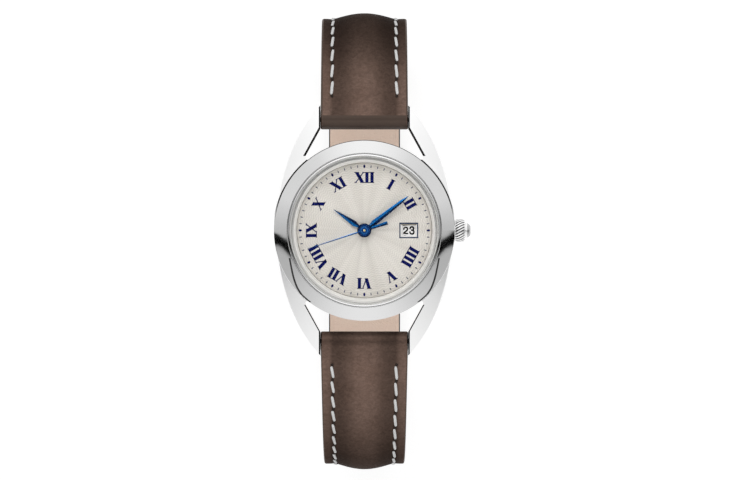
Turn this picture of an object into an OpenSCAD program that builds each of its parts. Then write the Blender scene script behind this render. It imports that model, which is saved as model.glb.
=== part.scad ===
// Quartz dress watch: stirrup case, fluted crown, three hands, date, padded leather strap.
// The dial faces +Z, 12 o'clock is +Y and the crown is at +X. The table is at z = 0.

/* [Case] */
// Diameter of the bezel
bezel_d = 30; // [29.8:0.1:30.6]
// Radius of the two arcs that draw the case in plan
side_r = 32; // [31:0.5:33]
// Room between the strap and the two arms that hold it
slot_play = 0.2; // [0.16:0.02:0.3]
// Distance from the hand axis to each spring bar
bar_y = 18.4; // [18.3:0.05:18.6]
// Height of the spring bars above the case back
bar_up = 1.6; // [1.5:0.05:1.7]
// Height of the middle case above the outer face of the back
case_t = 5.2; // [5.2:0.05:5.5]
// Height of the bezel above the middle case
bezel_t = 2; // [2:0.05:2.3]
// Diameter of the opening in the bezel
bezel_open_d = 25.56; // [25.5:0.02:25.8]
// Radius of the arc that drops the arms
arm_drop_r = 20; // [18:0.5:24]

/* [Crystal and dial] */
// Diameter of the crystal
crystal_d = 24.66; // [24.5:0.02:24.7]
// Thickness of the crystal at its edge
crystal_t = 0.75; // [0.7:0.05:0.85]
// Height of the dome of the crystal
crystal_dome = 0.95; // [0.7:0.05:1.1]
// Diameter of the dial
dial_d = 23.8; // [23.6:0.05:23.9]
// Diameter of the dial that shows inside the flange ring
dial_seen_d = 22.3; // [22.1:0.05:22.6]
// Thickness of the dial
dial_t = 0.4; // [0.3:0.02:0.42]
// Distance from the hand axis to the middle of the date window
date_x = 7.35; // [7.2:0.05:7.5]
// Width of the date window
date_w = 2.34; // [2.1:0.02:2.5]
// Height of the date window
date_h = 1.9; // [1.6:0.02:2.1]

/* [Hands] */
// Angle of the hour hand, clockwise from 12
hour_angle = 304.35; // [0:0.05:360]
// Angle of the minute hand, clockwise from 12
minute_angle = 52.2; // [0:0.05:360]
// Angle of the seconds hand, clockwise from 12
seconds_angle = 252; // [0:0.05:360]
// Reach of the hour hand
hour_len = 6.15; // [5.6:0.05:6.6]
// Reach of the minute hand
minute_len = 9.25; // [8.6:0.05:9.6]
// Reach of the seconds hand
seconds_len = 9.9; // [9.2:0.05:10.4]
// Reach of the counterweight of the seconds hand
tail_len = 4.05; // [3.4:0.05:4.4]
// Greatest width of the hour and minute hands
blade_w = 0.94; // [0.8:0.02:1.1]

/* [Crown] */
// Diameter of the crown over its ribs
crown_d = 3.8; // [3.4:0.05:3.9]
// Length of the ribbed barrel of the crown
barrel_len = 1.6; // [1.5:0.05:1.9]
// Length of the domed end of the crown
dome_len = 1.3; // [1.1:0.05:1.6]
// Number of ribs round the crown
ribs = 22; // [18:1:24]
// Slant of the ribs
rib_slant = 27; // [10:1:32]
// Travel of the crown when it is pulled
pull = 0.8; // [0.4:0.05:0.8]

/* [Movement] */
// Diameter of the movement
move_d = 19.4; // [19.3:0.02:19.44]
// Diameter of the battery
battery_d = 5.8; // [5.4:0.05:5.82]
// Height of the battery
battery_t = 2.1; // [1.9:0.05:2.12]

/* [Strap] */
// Width of the strap at the case
strap_w = 14.4; // [14:0.05:14.6]
// Narrowing of the strap from the case to the buckle
strap_taper = 2.4; // [2:0.1:2.8]
// Thickness of the strap at its edges
strap_t = 2.2; // [2:0.05:2.3]
// Thickness of the lining
lining_t = 1; // [0.8:0.05:1.1]
// Height of the padding over the edges
pad_t = 0.93; // [0.6:0.05:1.1]
// Distance of the stitching from the edge
stitch_in = 1.7; // [1.5:0.05:2]
// Height of the spring bars above the table
bar_z = 48.1; // [47.6:0.1:49]
// Slope of the strap where it leaves the case
strap_slope = 12; // [10:1:14]
// Straight run of the 12 o'clock half before its bend
run_12 = 6.5; // [6:0.1:7]
// Bend of the 12 o'clock half at the top
bend_12 = 12; // [11:0.5:13]
// Straight run of the 6 o'clock half before its bend
run_6 = 8.6; // [8:0.1:9]
// Bend of the 6 o'clock half at the top
bend_6 = 14; // [13:0.5:15]
// Bend of both halves at the bottom
bend_low = 20; // [19:0.5:20.5]
// Position of the buckle bar from the hand axis
buckle_y = 11.9; // [11.6:0.05:12]
// Position of the strap tip past the hand axis
tip_y = 2.6; // [2:0.1:2.8]
// Number of adjusting holes
holes = 7; // [5:1:7]
// Distance between adjusting holes
hole_pitch = 5.5; // [5:0.1:5.8]

/* [Buckle] */
// Length of the buckle from its bar to its end
buckle_len = 7.9; // [7.6:0.05:8.1]
// Thickness of the buckle frame
buckle_t = 1.3; // [1.1:0.05:1.4]
// Width of the tongue
tongue_w = 1.5; // [1.2:0.05:1.7]
// Width of the keepers along the strap
keeper_len = 4; // [3.4:0.1:4.2]
// Thickness of the keeper leather
keeper_t = 0.8; // [0.6:0.05:0.85]

/* [Hidden] */
$fn = 96;

// Clearances
eps = 0.01;
run_gap = 0.05;      // radial gap of a shaft in its bore

// Radii of the case
bezel_r = bezel_d / 2;
open_r = bezel_open_d / 2;
crystal_r = crystal_d / 2;
dial_r = dial_d / 2;
bore_r = dial_r + 0.2;            // bore of the middle case
spigot_r = bore_r + 0.9;          // bezel spigot and wall of the back
back_r = spigot_r + 0.9;          // outer radius of the snap back
side_x = side_r - bezel_r - 0.05; // centres of the two plan arcs
slot_w = strap_w + slot_play;     // gap between the arms
slot_x = slot_w / 2;
strap_back_w = strap_w - strap_taper;
barrel_r = bezel_r - 0.05;        // barrel of the case between the arms
side_round_r = 7.5;               // section of the rounded flanks
bezel_round_r = 6.16;             // round of the bezel in section
bezel_slope = 15;                 // slope of the bezel at its opening
line_w = 0.14;                    // groove round the foot of the bezel
line_deep = 0.2;

// Heights above the outer face of the back
back_z = bar_z - bar_up;
back_t = 0.55;
seat_z = case_t - 0.7;            // floor of the bezel seat
shoulder_z = 2;                   // shoulder over the back gasket
move_top = 3.98;                  // dial side of the movement
dial_z = move_top + 0.02;
dial_top = dial_z + dial_t;
ledge_z = case_t + 0.93;          // ledge of the bezel under the crystal
glass_z = ledge_z + 0.17;         // underside of the crystal
stem_z = 2.7;
arm_slope = 15;                   // slope of the arms where they leave the bezel

// Movement, heights of the layers
bridge_z = 0.8;
bridge_t = 0.22;
plate_z = 2.3;
plate_top = 3.35;
move_r = move_d / 2;
pocket_z = 2.72;
wheel_t = 0.15;

// Movement, places of the arbors
third_at = [3.4 * cos(200), 3.4 * sin(200)];
inter_d = 3.35;
rotor_hole_r = 0.65;
inter_at = inter_d * [cos(80), sin(80)];
rotor_at = inter_at + 1.785 * [cos(50), sin(50)];
setting_at = [4.75, 0];
motion_d = 2.64;                  // centre distance of both steps of the motion work
minute_at = [setting_at[0] / 2, sqrt(pow(motion_d, 2) - pow(setting_at[0] / 2, 2))];
date_d = 3.51;
date_at = [date_d * cos(150), date_d * sin(150)];
battery_at = 6.3 * [cos(310), sin(310)];
posts = [[-7.9, -1.6], [4.6, 5.4], [-4, -5.3]];
clamp_post = [7.6, -2.2];
lever_at = [8.5, 2.2];
yoke_at = [6.9, 2.7];
core_a = [-7.4, 3.4];
core_b = [0.2, 7.9];
foot_r = 9.4;
foot_angles = [60, 240];
coil_z = 1.8;
coil_r = 0.75;
quartz_at = [-1, -7.4];

// Arbors
pivot_r = 0.1;
seconds_r = 0.14;
cannon_r = 0.4;
tube_r = 0.72;
post_r = 0.2;

// Hands, heights
hour_z = 4.7;
minute_z = 5.12;
seconds_z = 5.58;
hub_t = 0.3;

// Teeth: module of each pair, chosen so that the pair fits its centre distance
seconds_teeth = 40;
m_third = 0.1;                    // seconds pinion 8, third wheel 60
m_centre = 2 * 3.4 / (8 + 64);    // third pinion 8, centre wheel 64
m_seconds = 2 * inter_d / (8 + seconds_teeth);
m_rotor = 0.085;                  // rotor pinion 6, intermediate wheel 36
m_minute = 2 * motion_d / (12 + 36);
m_hour = 2 * motion_d / (10 + 40);
m_date = 2 * date_d / (18 + 36);

// Date ring
ring_in = 6;
ring_tip = 5.6;
ring_out = 8.9;
ring_z = 3.55;
ring_t = 0.2;

// Strap
roll_r = 1.62;
roll_w = strap_w - 0.04;
half_t = strap_t / 2;
leather_low = lining_t - half_t;  // face between lining and leather, from the middle line
bar_bore_r = 0.85;
bar_r = 0.75;
tip_r = 0.4;
root_flat = 3;                    // plain leather before the padding
pad_rise = 3;
pad_end_12 = 34;
pad_end_6 = 38;
pad_fade = 7;
taper_end = 42;
wide_12 = [28, strap_w - 0.4];    // place along the 12 o'clock half and width there
wide_6 = [30, strap_w - 1.2];
hole_r = 0.75;
first_hole = 22;

// Buckle
buckle_bar_r = 0.6;
end_roll_r = half_t;
frame_in = strap_back_w / 2 + 0.2;
frame_w = 1;
tongue_slot = tongue_w / 2 + 0.25;
keeper_from = 32;                 // angle of the fixed keeper up the bottom bend
keeper_play = 0.15;
keeper_room = 2 * strap_t;

// A solid through rings of points, each ring with as many points, closed at both ends
module loft(rings) {
    n = len(rings[0]);
    m = len(rings);
    polyhedron(
        points = [for (ring = rings) each ring],
        faces = concat(
            [[for (i = [0:n - 1]) i]],
            [for (k = [0:m - 2], i = [0:n - 1])
                [k * n + i, (k + 1) * n + i, (k + 1) * n + (i + 1) % n]],
            [for (k = [0:m - 2], i = [0:n - 1])
                [k * n + i, (k + 1) * n + (i + 1) % n, k * n + (i + 1) % n]],
            [[for (i = [n - 1:-1:0]) (m - 1) * n + i]]));
}

module on_back() translate([0, 0, back_z]) children();

module ring(r_out, r_in, z0, z1) {
    translate([0, 0, z0]) difference() {
        cylinder(r = r_out, h = z1 - z0);
        translate([0, 0, -1]) cylinder(r = r_in, h = z1 - z0 + 2);
    }
}

module disc(at, r, z0, z1) translate([at[0], at[1], z0]) cylinder(r = r, h = z1 - z0);

module along_x(x0, x1, r) translate([x0, 0, stem_z]) rotate([0, 90, 0]) cylinder(r = r, h = x1 - x0);

// Case
module side_disc(side) {
    translate([side * side_x, 0, 0]) rotate_extrude() intersection() {
        translate([0, back_t]) square([side_r + 1, case_t - back_t]);
        union() {
            square([side_r - side_round_r, case_t]);
            translate([side_r - side_round_r, case_t / 2]) circle(r = side_round_r);
        }
    }
}

module arm_dome() {
    start_r = bezel_r;
    at = [start_r - arm_drop_r * sin(arm_slope), case_t - arm_drop_r * cos(arm_slope)];
    rotate_extrude() intersection() {
        square([24, case_t]);
        union() {
            square([at[0], case_t]);
            translate(at) circle(r = arm_drop_r);
        }
    }
}

// Opening between the barrel of the case and a pair of arms, for the strap's end
corner_r = 0.44;
window_knee = [slot_x, bar_y - 1.55];
window_slope = 61.3;
window_dir = [cos(window_slope), -sin(window_slope)];
window_in = [window_dir[1], -window_dir[0]];
knee_in = window_knee + corner_r * window_in;
corner_from_axis = barrel_r + corner_r - 0.04;
window_b = knee_in * window_dir;
window_run = -window_b - sqrt(pow(window_b, 2) - knee_in * knee_in + pow(corner_from_axis, 2));
corner_at = knee_in + window_run * window_dir;
corner_edge = window_knee + (window_run + 0.02) * window_dir;
corner_low = corner_at * 0.93;

module strap_window() {
    half = [[slot_x, 24], window_knee, corner_edge, corner_at, corner_low];
    translate([0, 0, -1]) linear_extrude(height = case_t + 3) difference() {
        union() {
            polygon(concat(half, [for (i = [4:-1:0]) [-half[i][0], half[i][1]]]));
            for (side = [-1, 1]) translate([side * corner_at[0], corner_at[1]]) circle(r = corner_r);
        }
        circle(r = barrel_r);
    }
}

module mid_case() {
    color("silver") on_back() difference() {
        intersection() {
            side_disc(-1);
            side_disc(1);
            arm_dome();
        }
        strap_window();
        mirror([0, 1, 0]) strap_window();
        cylinder(r = bore_r, h = case_t + 1);
        translate([0, 0, seat_z]) cylinder(r = spigot_r + 0.02, h = 2);
        ring(bezel_r + line_w, bezel_r, case_t - line_deep, case_t + 1);
        translate([0, 0, -1]) cylinder(r = spigot_r, h = shoulder_z + 1);
        rotate_extrude() polygon([[spigot_r - 0.1, 1], [spigot_r + 0.08, 1.25], [spigot_r - 0.1, 1.5]]);
        along_x(bore_r - 1, bezel_r + 2, tube_out_r);
        for (y = [-bar_y, bar_y]) translate([-slot_x - 1, y, bar_up])
            rotate([0, 90, 0]) cylinder(r = tip_r + run_gap, h = slot_w + 2);
    }
}

module bezel() {
    top = case_t + bezel_t;
    round_at = [open_r - bezel_round_r * sin(bezel_slope), top - bezel_round_r * cos(bezel_slope)];
    color("gainsboro") on_back() rotate_extrude() difference() {
        union() {
            intersection() {
                translate([open_r, case_t]) square([bezel_r - open_r, bezel_t]);
                translate(round_at) circle(r = bezel_round_r);
            }
            translate([bore_r, seat_z]) square([spigot_r - bore_r, ledge_z - seat_z]);
            translate([bore_r, case_t]) square([open_r - bore_r + eps, ledge_z - case_t]);
        }
        translate([open_r, top]) rotate(45) square(0.16, center = true);
    }
}

module crystal() {
    dome_r = (pow(crystal_r, 2) + pow(crystal_dome, 2)) / (2 * crystal_dome);
    edge_z = glass_z + crystal_t;
    color("lightcyan", 0.35) on_back() rotate_extrude() intersection() {
        translate([0, glass_z]) square([crystal_r, crystal_t + crystal_dome + 1]);
        translate([0, edge_z + crystal_dome - dome_r]) circle(r = dome_r, $fn = 720);
    }
}

module crystal_gasket() {
    color("whitesmoke") on_back() {
        difference() {
            ring(open_r - 0.02, bore_r + 0.02, ledge_z, glass_z + crystal_t - 0.05);
            translate([0, 0, glass_z]) cylinder(r = crystal_r + 0.01, h = 2);
        }
    }
}

module flange_ring() {
    out = bore_r - 0.05;
    seen = dial_seen_d / 2;
    color("lightgray") on_back() rotate_extrude() polygon([
        [seen, dial_top], [out, dial_top], [out, glass_z - 0.02],
        [seen + 0.6, glass_z - 0.02], [seen + 0.35, glass_z - 0.35], [seen, dial_top + 0.25]]);
}

module case_back() {
    color("silver") on_back() difference() {
        rotate_extrude() union() {
            polygon([[0, 0], [back_r - 0.3, 0], [back_r, 0.25],
                [back_r, back_t - 0.02], [0, back_t - 0.02]]);
            polygon([[spigot_r - 0.75, back_t - 0.1], [spigot_r - 0.05, back_t - 0.1],
                [spigot_r - 0.05, 1.1], [spigot_r + 0.02, 1.25], [spigot_r - 0.05, 1.4],
                [spigot_r - 0.05, 1.7], [spigot_r - 0.75, 1.7]]);
        }
        ring(back_r - 2.1, back_r - 2.4, -0.1, 0.08);
        rotate(100) translate([back_r, 0, back_t]) cube([1.2, 3, 0.5], center = true);
    }
}

module case_back_gasket() color("dimgray") on_back()
    ring(spigot_r - 0.02, bore_r + 0.1, 1.72, shoulder_z - 0.02);

module movement_holder() {
    color("ivory") on_back() difference() {
        union() {
            ring(bore_r + 0.03, move_r + 0.05, back_t + 0.05, 1.7);
            ring(bore_r - 0.05, move_r + 0.05, 1.65, move_top - 0.03);
        }
        translate([move_r - 1, -1.1, stem_z - 1]) cube([4, 2.2, 3]);
        for (a = [75, 165, 255, 345]) rotate(a + 12) translate([bore_r, 0, -1])
            cylinder(r = 1.1, h = 3);
    }
}

// Crown and stem
tube_out_r = 1;
tube_in_r = 0.42;
stem_r = 0.35;
collar_r = 0.45;
groove_r = 0.22;
groove_x = 8.5;
tube_end = bezel_r + 0.85;
crown_x = bezel_r + 0.1;
recess_r = 1.3;
recess_len = barrel_len - 0.5;
screw_r = 0.3;                    // thread that holds the crown on its stem
screw_end = crown_x + barrel_len - 0.12;

module crown_tube() {
    color("silver") on_back() difference() {
        along_x(spigot_r + 0.05, tube_end, tube_out_r);
        along_x(spigot_r - 1, tube_end + 1, tube_in_r);
    }
}

function rib_r(x, phase) = crown_d / 2 - 0.12 * min(1, abs(x - barrel_len / 2) / (barrel_len / 2))
    - 0.2 * (0.5 - 0.5 * cos(360 * phase));

module crown_barrel() {
    rows = 5;
    steps = 4;
    spare = 0.1;                  // length that the flat ends cut off
    len = barrel_len + 2 * spare;
    twist = len * tan(rib_slant) / (crown_d / 2) * 180 / PI;
    intersection() {
        loft([for (k = [0:rows]) let (x = len * k / rows - spare)
            [for (i = [0:ribs * steps - 1])
                let (a = 360 * i / (ribs * steps) - twist * k / rows, r = rib_r(x, i / steps))
                [crown_x + x, r * cos(a), stem_z + r * sin(a)]]]);
        along_x(crown_x, crown_x + barrel_len, crown_d);
    }
}

module crown() {
    dome_x = crown_x + barrel_len;
    dome_r = 1.45;
    color("silver") on_back() difference() {
        union() {
            crown_barrel();
            translate([dome_x - 0.3, 0, stem_z]) rotate([0, 90, 0]) rotate_extrude() intersection() {
                square([dome_r, dome_len + 0.3]);
                union() {
                    square([dome_r, 0.5]);
                    translate([0, 0.3 + dome_len - 1.6]) circle(r = 1.6);
                }
            }
        }
        along_x(crown_x - 1, crown_x + recess_len, recess_r);
        along_x(crown_x, screw_end, screw_r);
    }
}

module crown_gasket() {
    color("dimgray") on_back() difference() {
        along_x(crown_x + 0.45, crown_x + 0.85, recess_r - 0.01);
        along_x(crown_x, crown_x + 2, tube_out_r + 0.03);
    }
}

module stem() {
    color("gray") on_back() {
        translate([clutch_x + 0.02, -square_w / 2, stem_z - square_w / 2]) cube([1.7, square_w, square_w]);
        along_x(7.3, groove_x - 0.25, collar_r);
        along_x(groove_x - 0.25 - eps, groove_x + 0.25 + eps, groove_r);
        along_x(groove_x + 0.25, move_r - 0.05, collar_r);
        along_x(move_r - 0.06, crown_x + recess_len, stem_r);
        along_x(crown_x + recess_len - eps, screw_end, screw_r);
    }
}

clutch_x = 5.6;
clutch_len = 1.2;
clutch_r = 0.75;
square_w = 0.56;                  // square part of the stem

module clutch() {
    bore_w = square_w + 0.06;
    color("darkgray") on_back() difference() {
        union() {
            for (x = [clutch_x, clutch_x + clutch_len - 0.42]) along_x(x, x + 0.42, clutch_r);
            along_x(clutch_x + 0.4, clutch_x + 0.8, 0.5);
        }
        translate([clutch_x - 1, -bore_w / 2, stem_z - bore_w / 2]) cube([clutch_len + 2, bore_w, bore_w]);
        for (a = [0:45:135]) translate([clutch_x, 0, stem_z]) rotate([a, 0, 0])
            cube([0.24, 0.14, 4 * clutch_r], center = true);
    }
}

module lever_plate(from, to, w) {
    d = to - from;
    translate([from[0], from[1], 0]) rotate(atan2(d[1], d[0])) translate([0, -w / 2, 0])
        square([norm(d), w]);
}

module setting_lever() {
    color("lightsteelblue") on_back() {
        translate([0, 0, 3.16]) linear_extrude(height = 0.17) difference() {
            union() {
                translate(lever_at) circle(r = 0.55);
                lever_plate(lever_at, [groove_x, 0], 0.5);
                translate([groove_x, 0]) circle(r = 0.3);
            }
            translate(lever_at) circle(r = post_r + 0.03);
        }
        disc([groove_x, 0], 0.15, 2.97, 3.2);
    }
}

module yoke() {
    color("lightsteelblue") on_back() translate([0, 0, 3.16]) linear_extrude(height = 0.17) difference() {
        union() {
            translate(yoke_at) circle(r = 0.55);
            lever_plate(yoke_at, [6.2, 1.2], 0.4);
            translate([6.1, 0.28]) square([0.2, 1.1]);
            lever_plate(yoke_at, [5.2, 3.6], 0.25);
        }
        translate(yoke_at) circle(r = post_r + 0.03);
    }
}

// Dial and hands
module dial() {
    color("linen") on_back() difference() {
        union() {
            translate([0, 0, dial_z]) cylinder(r = dial_r, h = dial_t);
            for (a = foot_angles) disc(foot_r * [cos(a), sin(a)], 0.18, move_top - 0.6, dial_z + 0.1);
        }
        cylinder(r = tube_r + 0.1, h = 9);
        translate([date_x - date_w / 2, -date_h / 2, 0]) cube([date_w, date_h, 9]);
    }
}

// A hand's blade from stations of [reach, half width, height of the ridge]
module blade(stations, edge_t) {
    loft([for (s = stations)
        [[s[1], s[0], 0], [-s[1], s[0], 0], [-s[1], s[0], edge_t], [0, s[0], s[2]], [s[1], s[0], edge_t]]]);
}

module hand(angle, z, bore, hub) {
    on_back() translate([0, 0, z]) rotate(-angle) difference() {
        union() {
            children();
            cylinder(r = hub, h = hub_t, $fn = 48);
        }
        translate([0, 0, -1]) cylinder(r = bore, h = 3, $fn = 48);
    }
}

module hour_hand() {
    w = blade_w / 2;
    color("navy") hand(hour_angle, hour_z, tube_r, 1.15)
        blade([[0.9, 0.16, 0.14], [2, w, 0.2], [hour_len * 0.62, w * 0.62, 0.18],
            [hour_len, 0.03, 0.09]], 0.08);
}

module minute_hand() {
    w = blade_w / 2;
    color("navy") hand(minute_angle, minute_z, cannon_r, 1.13)
        blade([[0.9, 0.16, 0.14], [2, w, 0.2], [minute_len * 0.86, w * 0.56, 0.17],
            [minute_len, 0.03, 0.09]], 0.08);
}

module seconds_hand() {
    color("midnightblue") hand(seconds_angle, seconds_z, seconds_r, 0.72) {
        blade([[0.5, 0.13, 0.14], [seconds_len, 0.045, 0.1]], 0.09);
        blade([[-tail_len, 0.3, 0.14], [-0.5, 0.2, 0.14]], 0.09);
    }
}

// Teeth of a wheel: a flat outline with straight flanks, one tooth at the angle phase
function teeth(n, m, phase) = [for (i = [0:n - 1]) let (p = 360 / n, a = phase + p * i, r = n * m / 2)
    each [for (c = [[-0.27, -1.1], [-0.12, 0.8], [0.12, 0.8], [0.27, -1.1]])
        (r + c[1] * m) * [cos(a + c[0] * p), sin(a + c[0] * p)]]];

// Phase of a wheel that meshes with another, seen along the line of centres at angle phi
function meshing(phase, n, n_mate, phi) =
    phi + 180 + ((phi - phase) * n / 360 + 0.5) * 360 / n_mate;

module toothed(n, m, phase, z0, z1) translate([0, 0, z0]) linear_extrude(height = z1 - z0)
    polygon(teeth(n, m, phase));

// A wheel lightened by round windows between its rim and its hub
module wheel(n, m, phase, z0, hub, arms) {
    root = n * m / 2 - 1.1 * m;
    mid = (root + hub) / 2;
    hole = min((root - hub) / 2 - 0.16, mid * sin(180 / arms) - 0.1);
    difference() {
        toothed(n, m, phase, z0, z0 + wheel_t);
        for (i = [0:arms - 1]) rotate(360 * i / arms + 20) translate([mid, 0, z0 - 1])
            cylinder(r = hole, h = 3, $fn = 32);
    }
}

third_phi = 200;
inter_phi = 80;
rotor_phi = 50;
minute_phi = atan2(minute_at[1], minute_at[0]);
setting_phi = -minute_phi;
date_phi = 150;
cannon_phase = minute_phi;
minute_phase = meshing(cannon_phase, 12, 36, minute_phi);

module seconds_wheel() {
    color("gold") on_back() {
        wheel(seconds_teeth, m_seconds, inter_phi, 1.15, 0.6, 5);
        toothed(8, m_third, third_phi, 1.29, 1.75);
        translate([0, 0, bridge_z + 0.02]) cylinder(r = pivot_r, h = 0.5, $fn = 32);
        translate([0, 0, 1.1]) cylinder(r = seconds_r, h = seconds_z + hub_t + 0.08 - 1.1, $fn = 32);
    }
}

module third_wheel() {
    color("gold") on_back() translate([third_at[0], third_at[1], 0]) {
        wheel(60, m_third, meshing(third_phi, 8, 60, third_phi), 1.55, 0.5, 6);
        toothed(8, m_centre, third_phi + 180, 1.69, plate_z - 0.03);
        translate([0, 0, bridge_z + 0.02]) cylinder(r = pivot_r, h = 1.9, $fn = 32);
    }
}

module centre_wheel() {
    phase = meshing(third_phi + 180, 8, 64, third_phi + 180);
    color("gold") on_back() difference() {
        union() {
            wheel(64, m_centre, phase, 2, 0.7, 5);
            translate([0, 0, 1.95]) cylinder(r = cannon_r, h = minute_z + hub_t - 1.95, $fn = 48);
            toothed(12, m_minute, cannon_phase, 2.75, 3.02);
        }
        cylinder(r = seconds_r + run_gap, h = 9, $fn = 32);
    }
}

module minute_wheel() {
    color("gold") on_back() translate([minute_at[0], minute_at[1], 0]) difference() {
        union() {
            toothed(36, m_minute, minute_phase, 2.78, 2.78 + wheel_t);
            toothed(10, m_hour, minute_phi + 180, 2.9, 3.3);
        }
        cylinder(r = post_r + run_gap, h = 9, $fn = 32);
    }
}

module hour_wheel() {
    color("gold") on_back() difference() {
        union() {
            toothed(40, m_hour, meshing(minute_phi + 180, 10, 40, minute_phi + 180), 3.1, 3.1 + wheel_t);
            toothed(18, m_date, date_phi, 3.2, 3.52);
            translate([0, 0, 3.1]) cylinder(r = tube_r, h = hour_z + hub_t - 3.1, $fn = 48);
        }
        cylinder(r = cannon_r + run_gap, h = 9, $fn = 48);
    }
}

module setting_wheel() {
    color("gold") on_back() translate([setting_at[0], setting_at[1], 0]) difference() {
        toothed(12, m_minute, meshing(minute_phase, 36, 12, setting_phi), 2.78, 2.98);
        cylinder(r = post_r + run_gap, h = 9, $fn = 32);
    }
}

module date_wheel() {
    color("gold") on_back() translate([date_at[0], date_at[1], 0]) difference() {
        union() {
            toothed(36, m_date, meshing(date_phi, 18, 36, date_phi), 3.37, 3.51);
            rotate(date_phi + 150) translate([1.5, -0.2, 3.5]) cube([1.05, 0.4, 0.22]);
        }
        cylinder(r = post_r + run_gap, h = 9, $fn = 32);
    }
}

module intermediate_wheel() {
    color("gold") on_back() translate([inter_at[0], inter_at[1], 0]) {
        wheel(36, m_rotor, rotor_phi, 1.45, 0.5, 4);
        toothed(8, m_seconds, meshing(inter_phi, seconds_teeth, 8, inter_phi), 1.08, 1.46);
        translate([0, 0, bridge_z + 0.02]) cylinder(r = pivot_r, h = 1.9, $fn = 32);
    }
}

module rotor() {
    color("dimgray") on_back() translate([rotor_at[0], rotor_at[1], 0]) {
        toothed(6, m_rotor, meshing(rotor_phi, 36, 6, rotor_phi), 1.38, 1.68);
        translate([0, 0, 1.66]) cylinder(r = 0.25, h = 0.2, $fn = 48);
        translate([0, 0, 1.85]) cylinder(r = 0.55, h = 0.42, $fn = 48);
        translate([0, 0, bridge_z + 0.02]) cylinder(r = pivot_r, h = 1.9, $fn = 32);
    }
}

// Movement, fixed pieces
module stem_way() {
    along_x(7, move_r + 1, collar_r + run_gap);
    translate([5.25, -1, plate_z - 1]) cube([2.65, 2, 3]);
}

module main_plate() {
    color("goldenrod") on_back() difference() {
        union() {
            translate([0, 0, plate_z]) cylinder(r = move_r, h = plate_top - plate_z);
            ring(move_r, ring_out + 0.2, plate_top - eps, move_top);
            for (p = posts) disc(p, 0.75, bridge_z + bridge_t, plate_z + eps);
            disc(clamp_post, 0.75, bridge_z + bridge_t - 0.05, plate_z + eps);
            intersection() {
                translate([7.9, -1.2, 1.9]) cube([2, 2.4, 1]);
                cylinder(r = move_r, h = 9);
            }
        }
        for (p = concat(posts, [clamp_post])) disc(p, 0.3, 0, 2.6);
        disc([0, 0], m_hour * 20 + 0.3, pocket_z, 9);
        difference() {
            union() {
                disc(minute_at, m_minute * 18 + 0.25, pocket_z, 9);
                disc(setting_at, m_minute * 6 + 0.25, pocket_z, 9);
            }
            disc(minute_at, post_r, 0, 3.36);
            disc(setting_at, post_r, 0, 3);
        }
        disc([0, 0], cannon_r + run_gap, 0, 9);
        for (p = [third_at, inter_at, rotor_at]) disc(p, pivot_r + 0.03, 0, plate_z + 0.5);
        disc(battery_at, battery_d / 2 + 0.05, 0, bridge_z + 0.25 + battery_t + 0.05);
        stem_way();
        translate([groove_x - 0.3, -0.25, stem_z]) cube([1.4, 0.65, 2]);
        key_recess();
        for (a = foot_angles) disc(foot_r * [cos(a), sin(a)], 0.21, move_top - 0.7, 9);
        core_line() cylinder(r = coil_r + 0.08, h = norm(core_b - core_a));
        translate([quartz_at[0] - 2.4, quartz_at[1] - 0.85, 0]) cube([4.8, 1.7, 2.7]);
    }
    color("goldenrod") on_back() {
        disc(lever_at, post_r, 3.1, plate_top);
        disc(yoke_at, post_r, 3.1, plate_top);
        disc(date_at, post_r, plate_top - 0.1, 3.6);
    }
}

module key_recess() {
    translate([0, 0, 3.14]) linear_extrude(height = 1) difference() {
        union() {
            translate(lever_at) circle(r = 0.65);
            translate([groove_x - 0.5, -0.5]) square([1.6, lever_at[1] + 0.5]);
            translate(yoke_at) circle(r = 0.65);
            lever_plate(yoke_at, [6.2, 0.9], 0.8);
            lever_plate(yoke_at, [5, 3.75], 0.5);
        }
    }
}

module core_line() {
    d = core_b - core_a;
    translate([core_a[0], core_a[1], coil_z]) rotate(atan2(d[1], d[0])) rotate([0, 90, 0]) children();
}

module coil() {
    long = norm(core_b - core_a);
    color("peru") on_back() core_line() difference() {
        union() {
            translate([0, 0, 1.5]) cylinder(r = coil_r - 0.08, h = long - 3);
            for (z = [1.3, long - 1.5]) translate([0, 0, z]) cylinder(r = coil_r, h = 0.2);
        }
        translate([-0.2, -0.45, 0]) cube([0.4, 0.9, long]);
    }
}

module coil_core() {
    long = norm(core_b - core_a);
    color("darkgray") on_back() core_line() translate([-0.18, -0.43, 0]) cube([0.36, 0.86, long]);
}

module stator() {
    color("darkgray") on_back() translate([0, 0, coil_z - 0.02 + 0.21]) linear_extrude(height = 0.2)
        difference() {
            polygon([core_a + [-0.35, -0.45], core_a + [0.1, 0.5], core_a + [0.62, 0.1],
                [-5.7, 3.1], [-3, 4.3], rotor_at + [-0.9, 0.9], core_b + [-0.6, -0.4],
                core_b + [0.5, -0.1], rotor_at + [0.7, 1], rotor_at + [1.05, 0],
                rotor_at + [0, -1], rotor_at + [-1.2, -0.9], [-3.2, 3.4], [-5.6, 2.4]]);
            translate(rotor_at) circle(r = rotor_hole_r, $fn = 48);
        }
}

module battery() {
    z0 = bridge_z + 0.25;
    color("lightgray") on_back() translate([battery_at[0], battery_at[1], z0]) union() {
        cylinder(r = battery_d / 2 - 0.45, h = battery_t);
        translate([0, 0, 0.25]) cylinder(r = battery_d / 2, h = battery_t - 0.25);
    }
}

module battery_clamp() {
    far = battery_at + (battery_d / 2 - 0.7) * [cos(250), sin(250)];
    color("silver") on_back() translate([0, 0, bridge_z]) linear_extrude(height = 0.16) difference() {
        union() {
            lever_plate(clamp_post, battery_at, 1.4);
            translate(clamp_post) circle(r = 0.85);
            translate(battery_at) circle(r = 1);
            lever_plate(battery_at, far, 0.9);
        }
        translate(clamp_post) circle(r = 0.3);
    }
}

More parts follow.
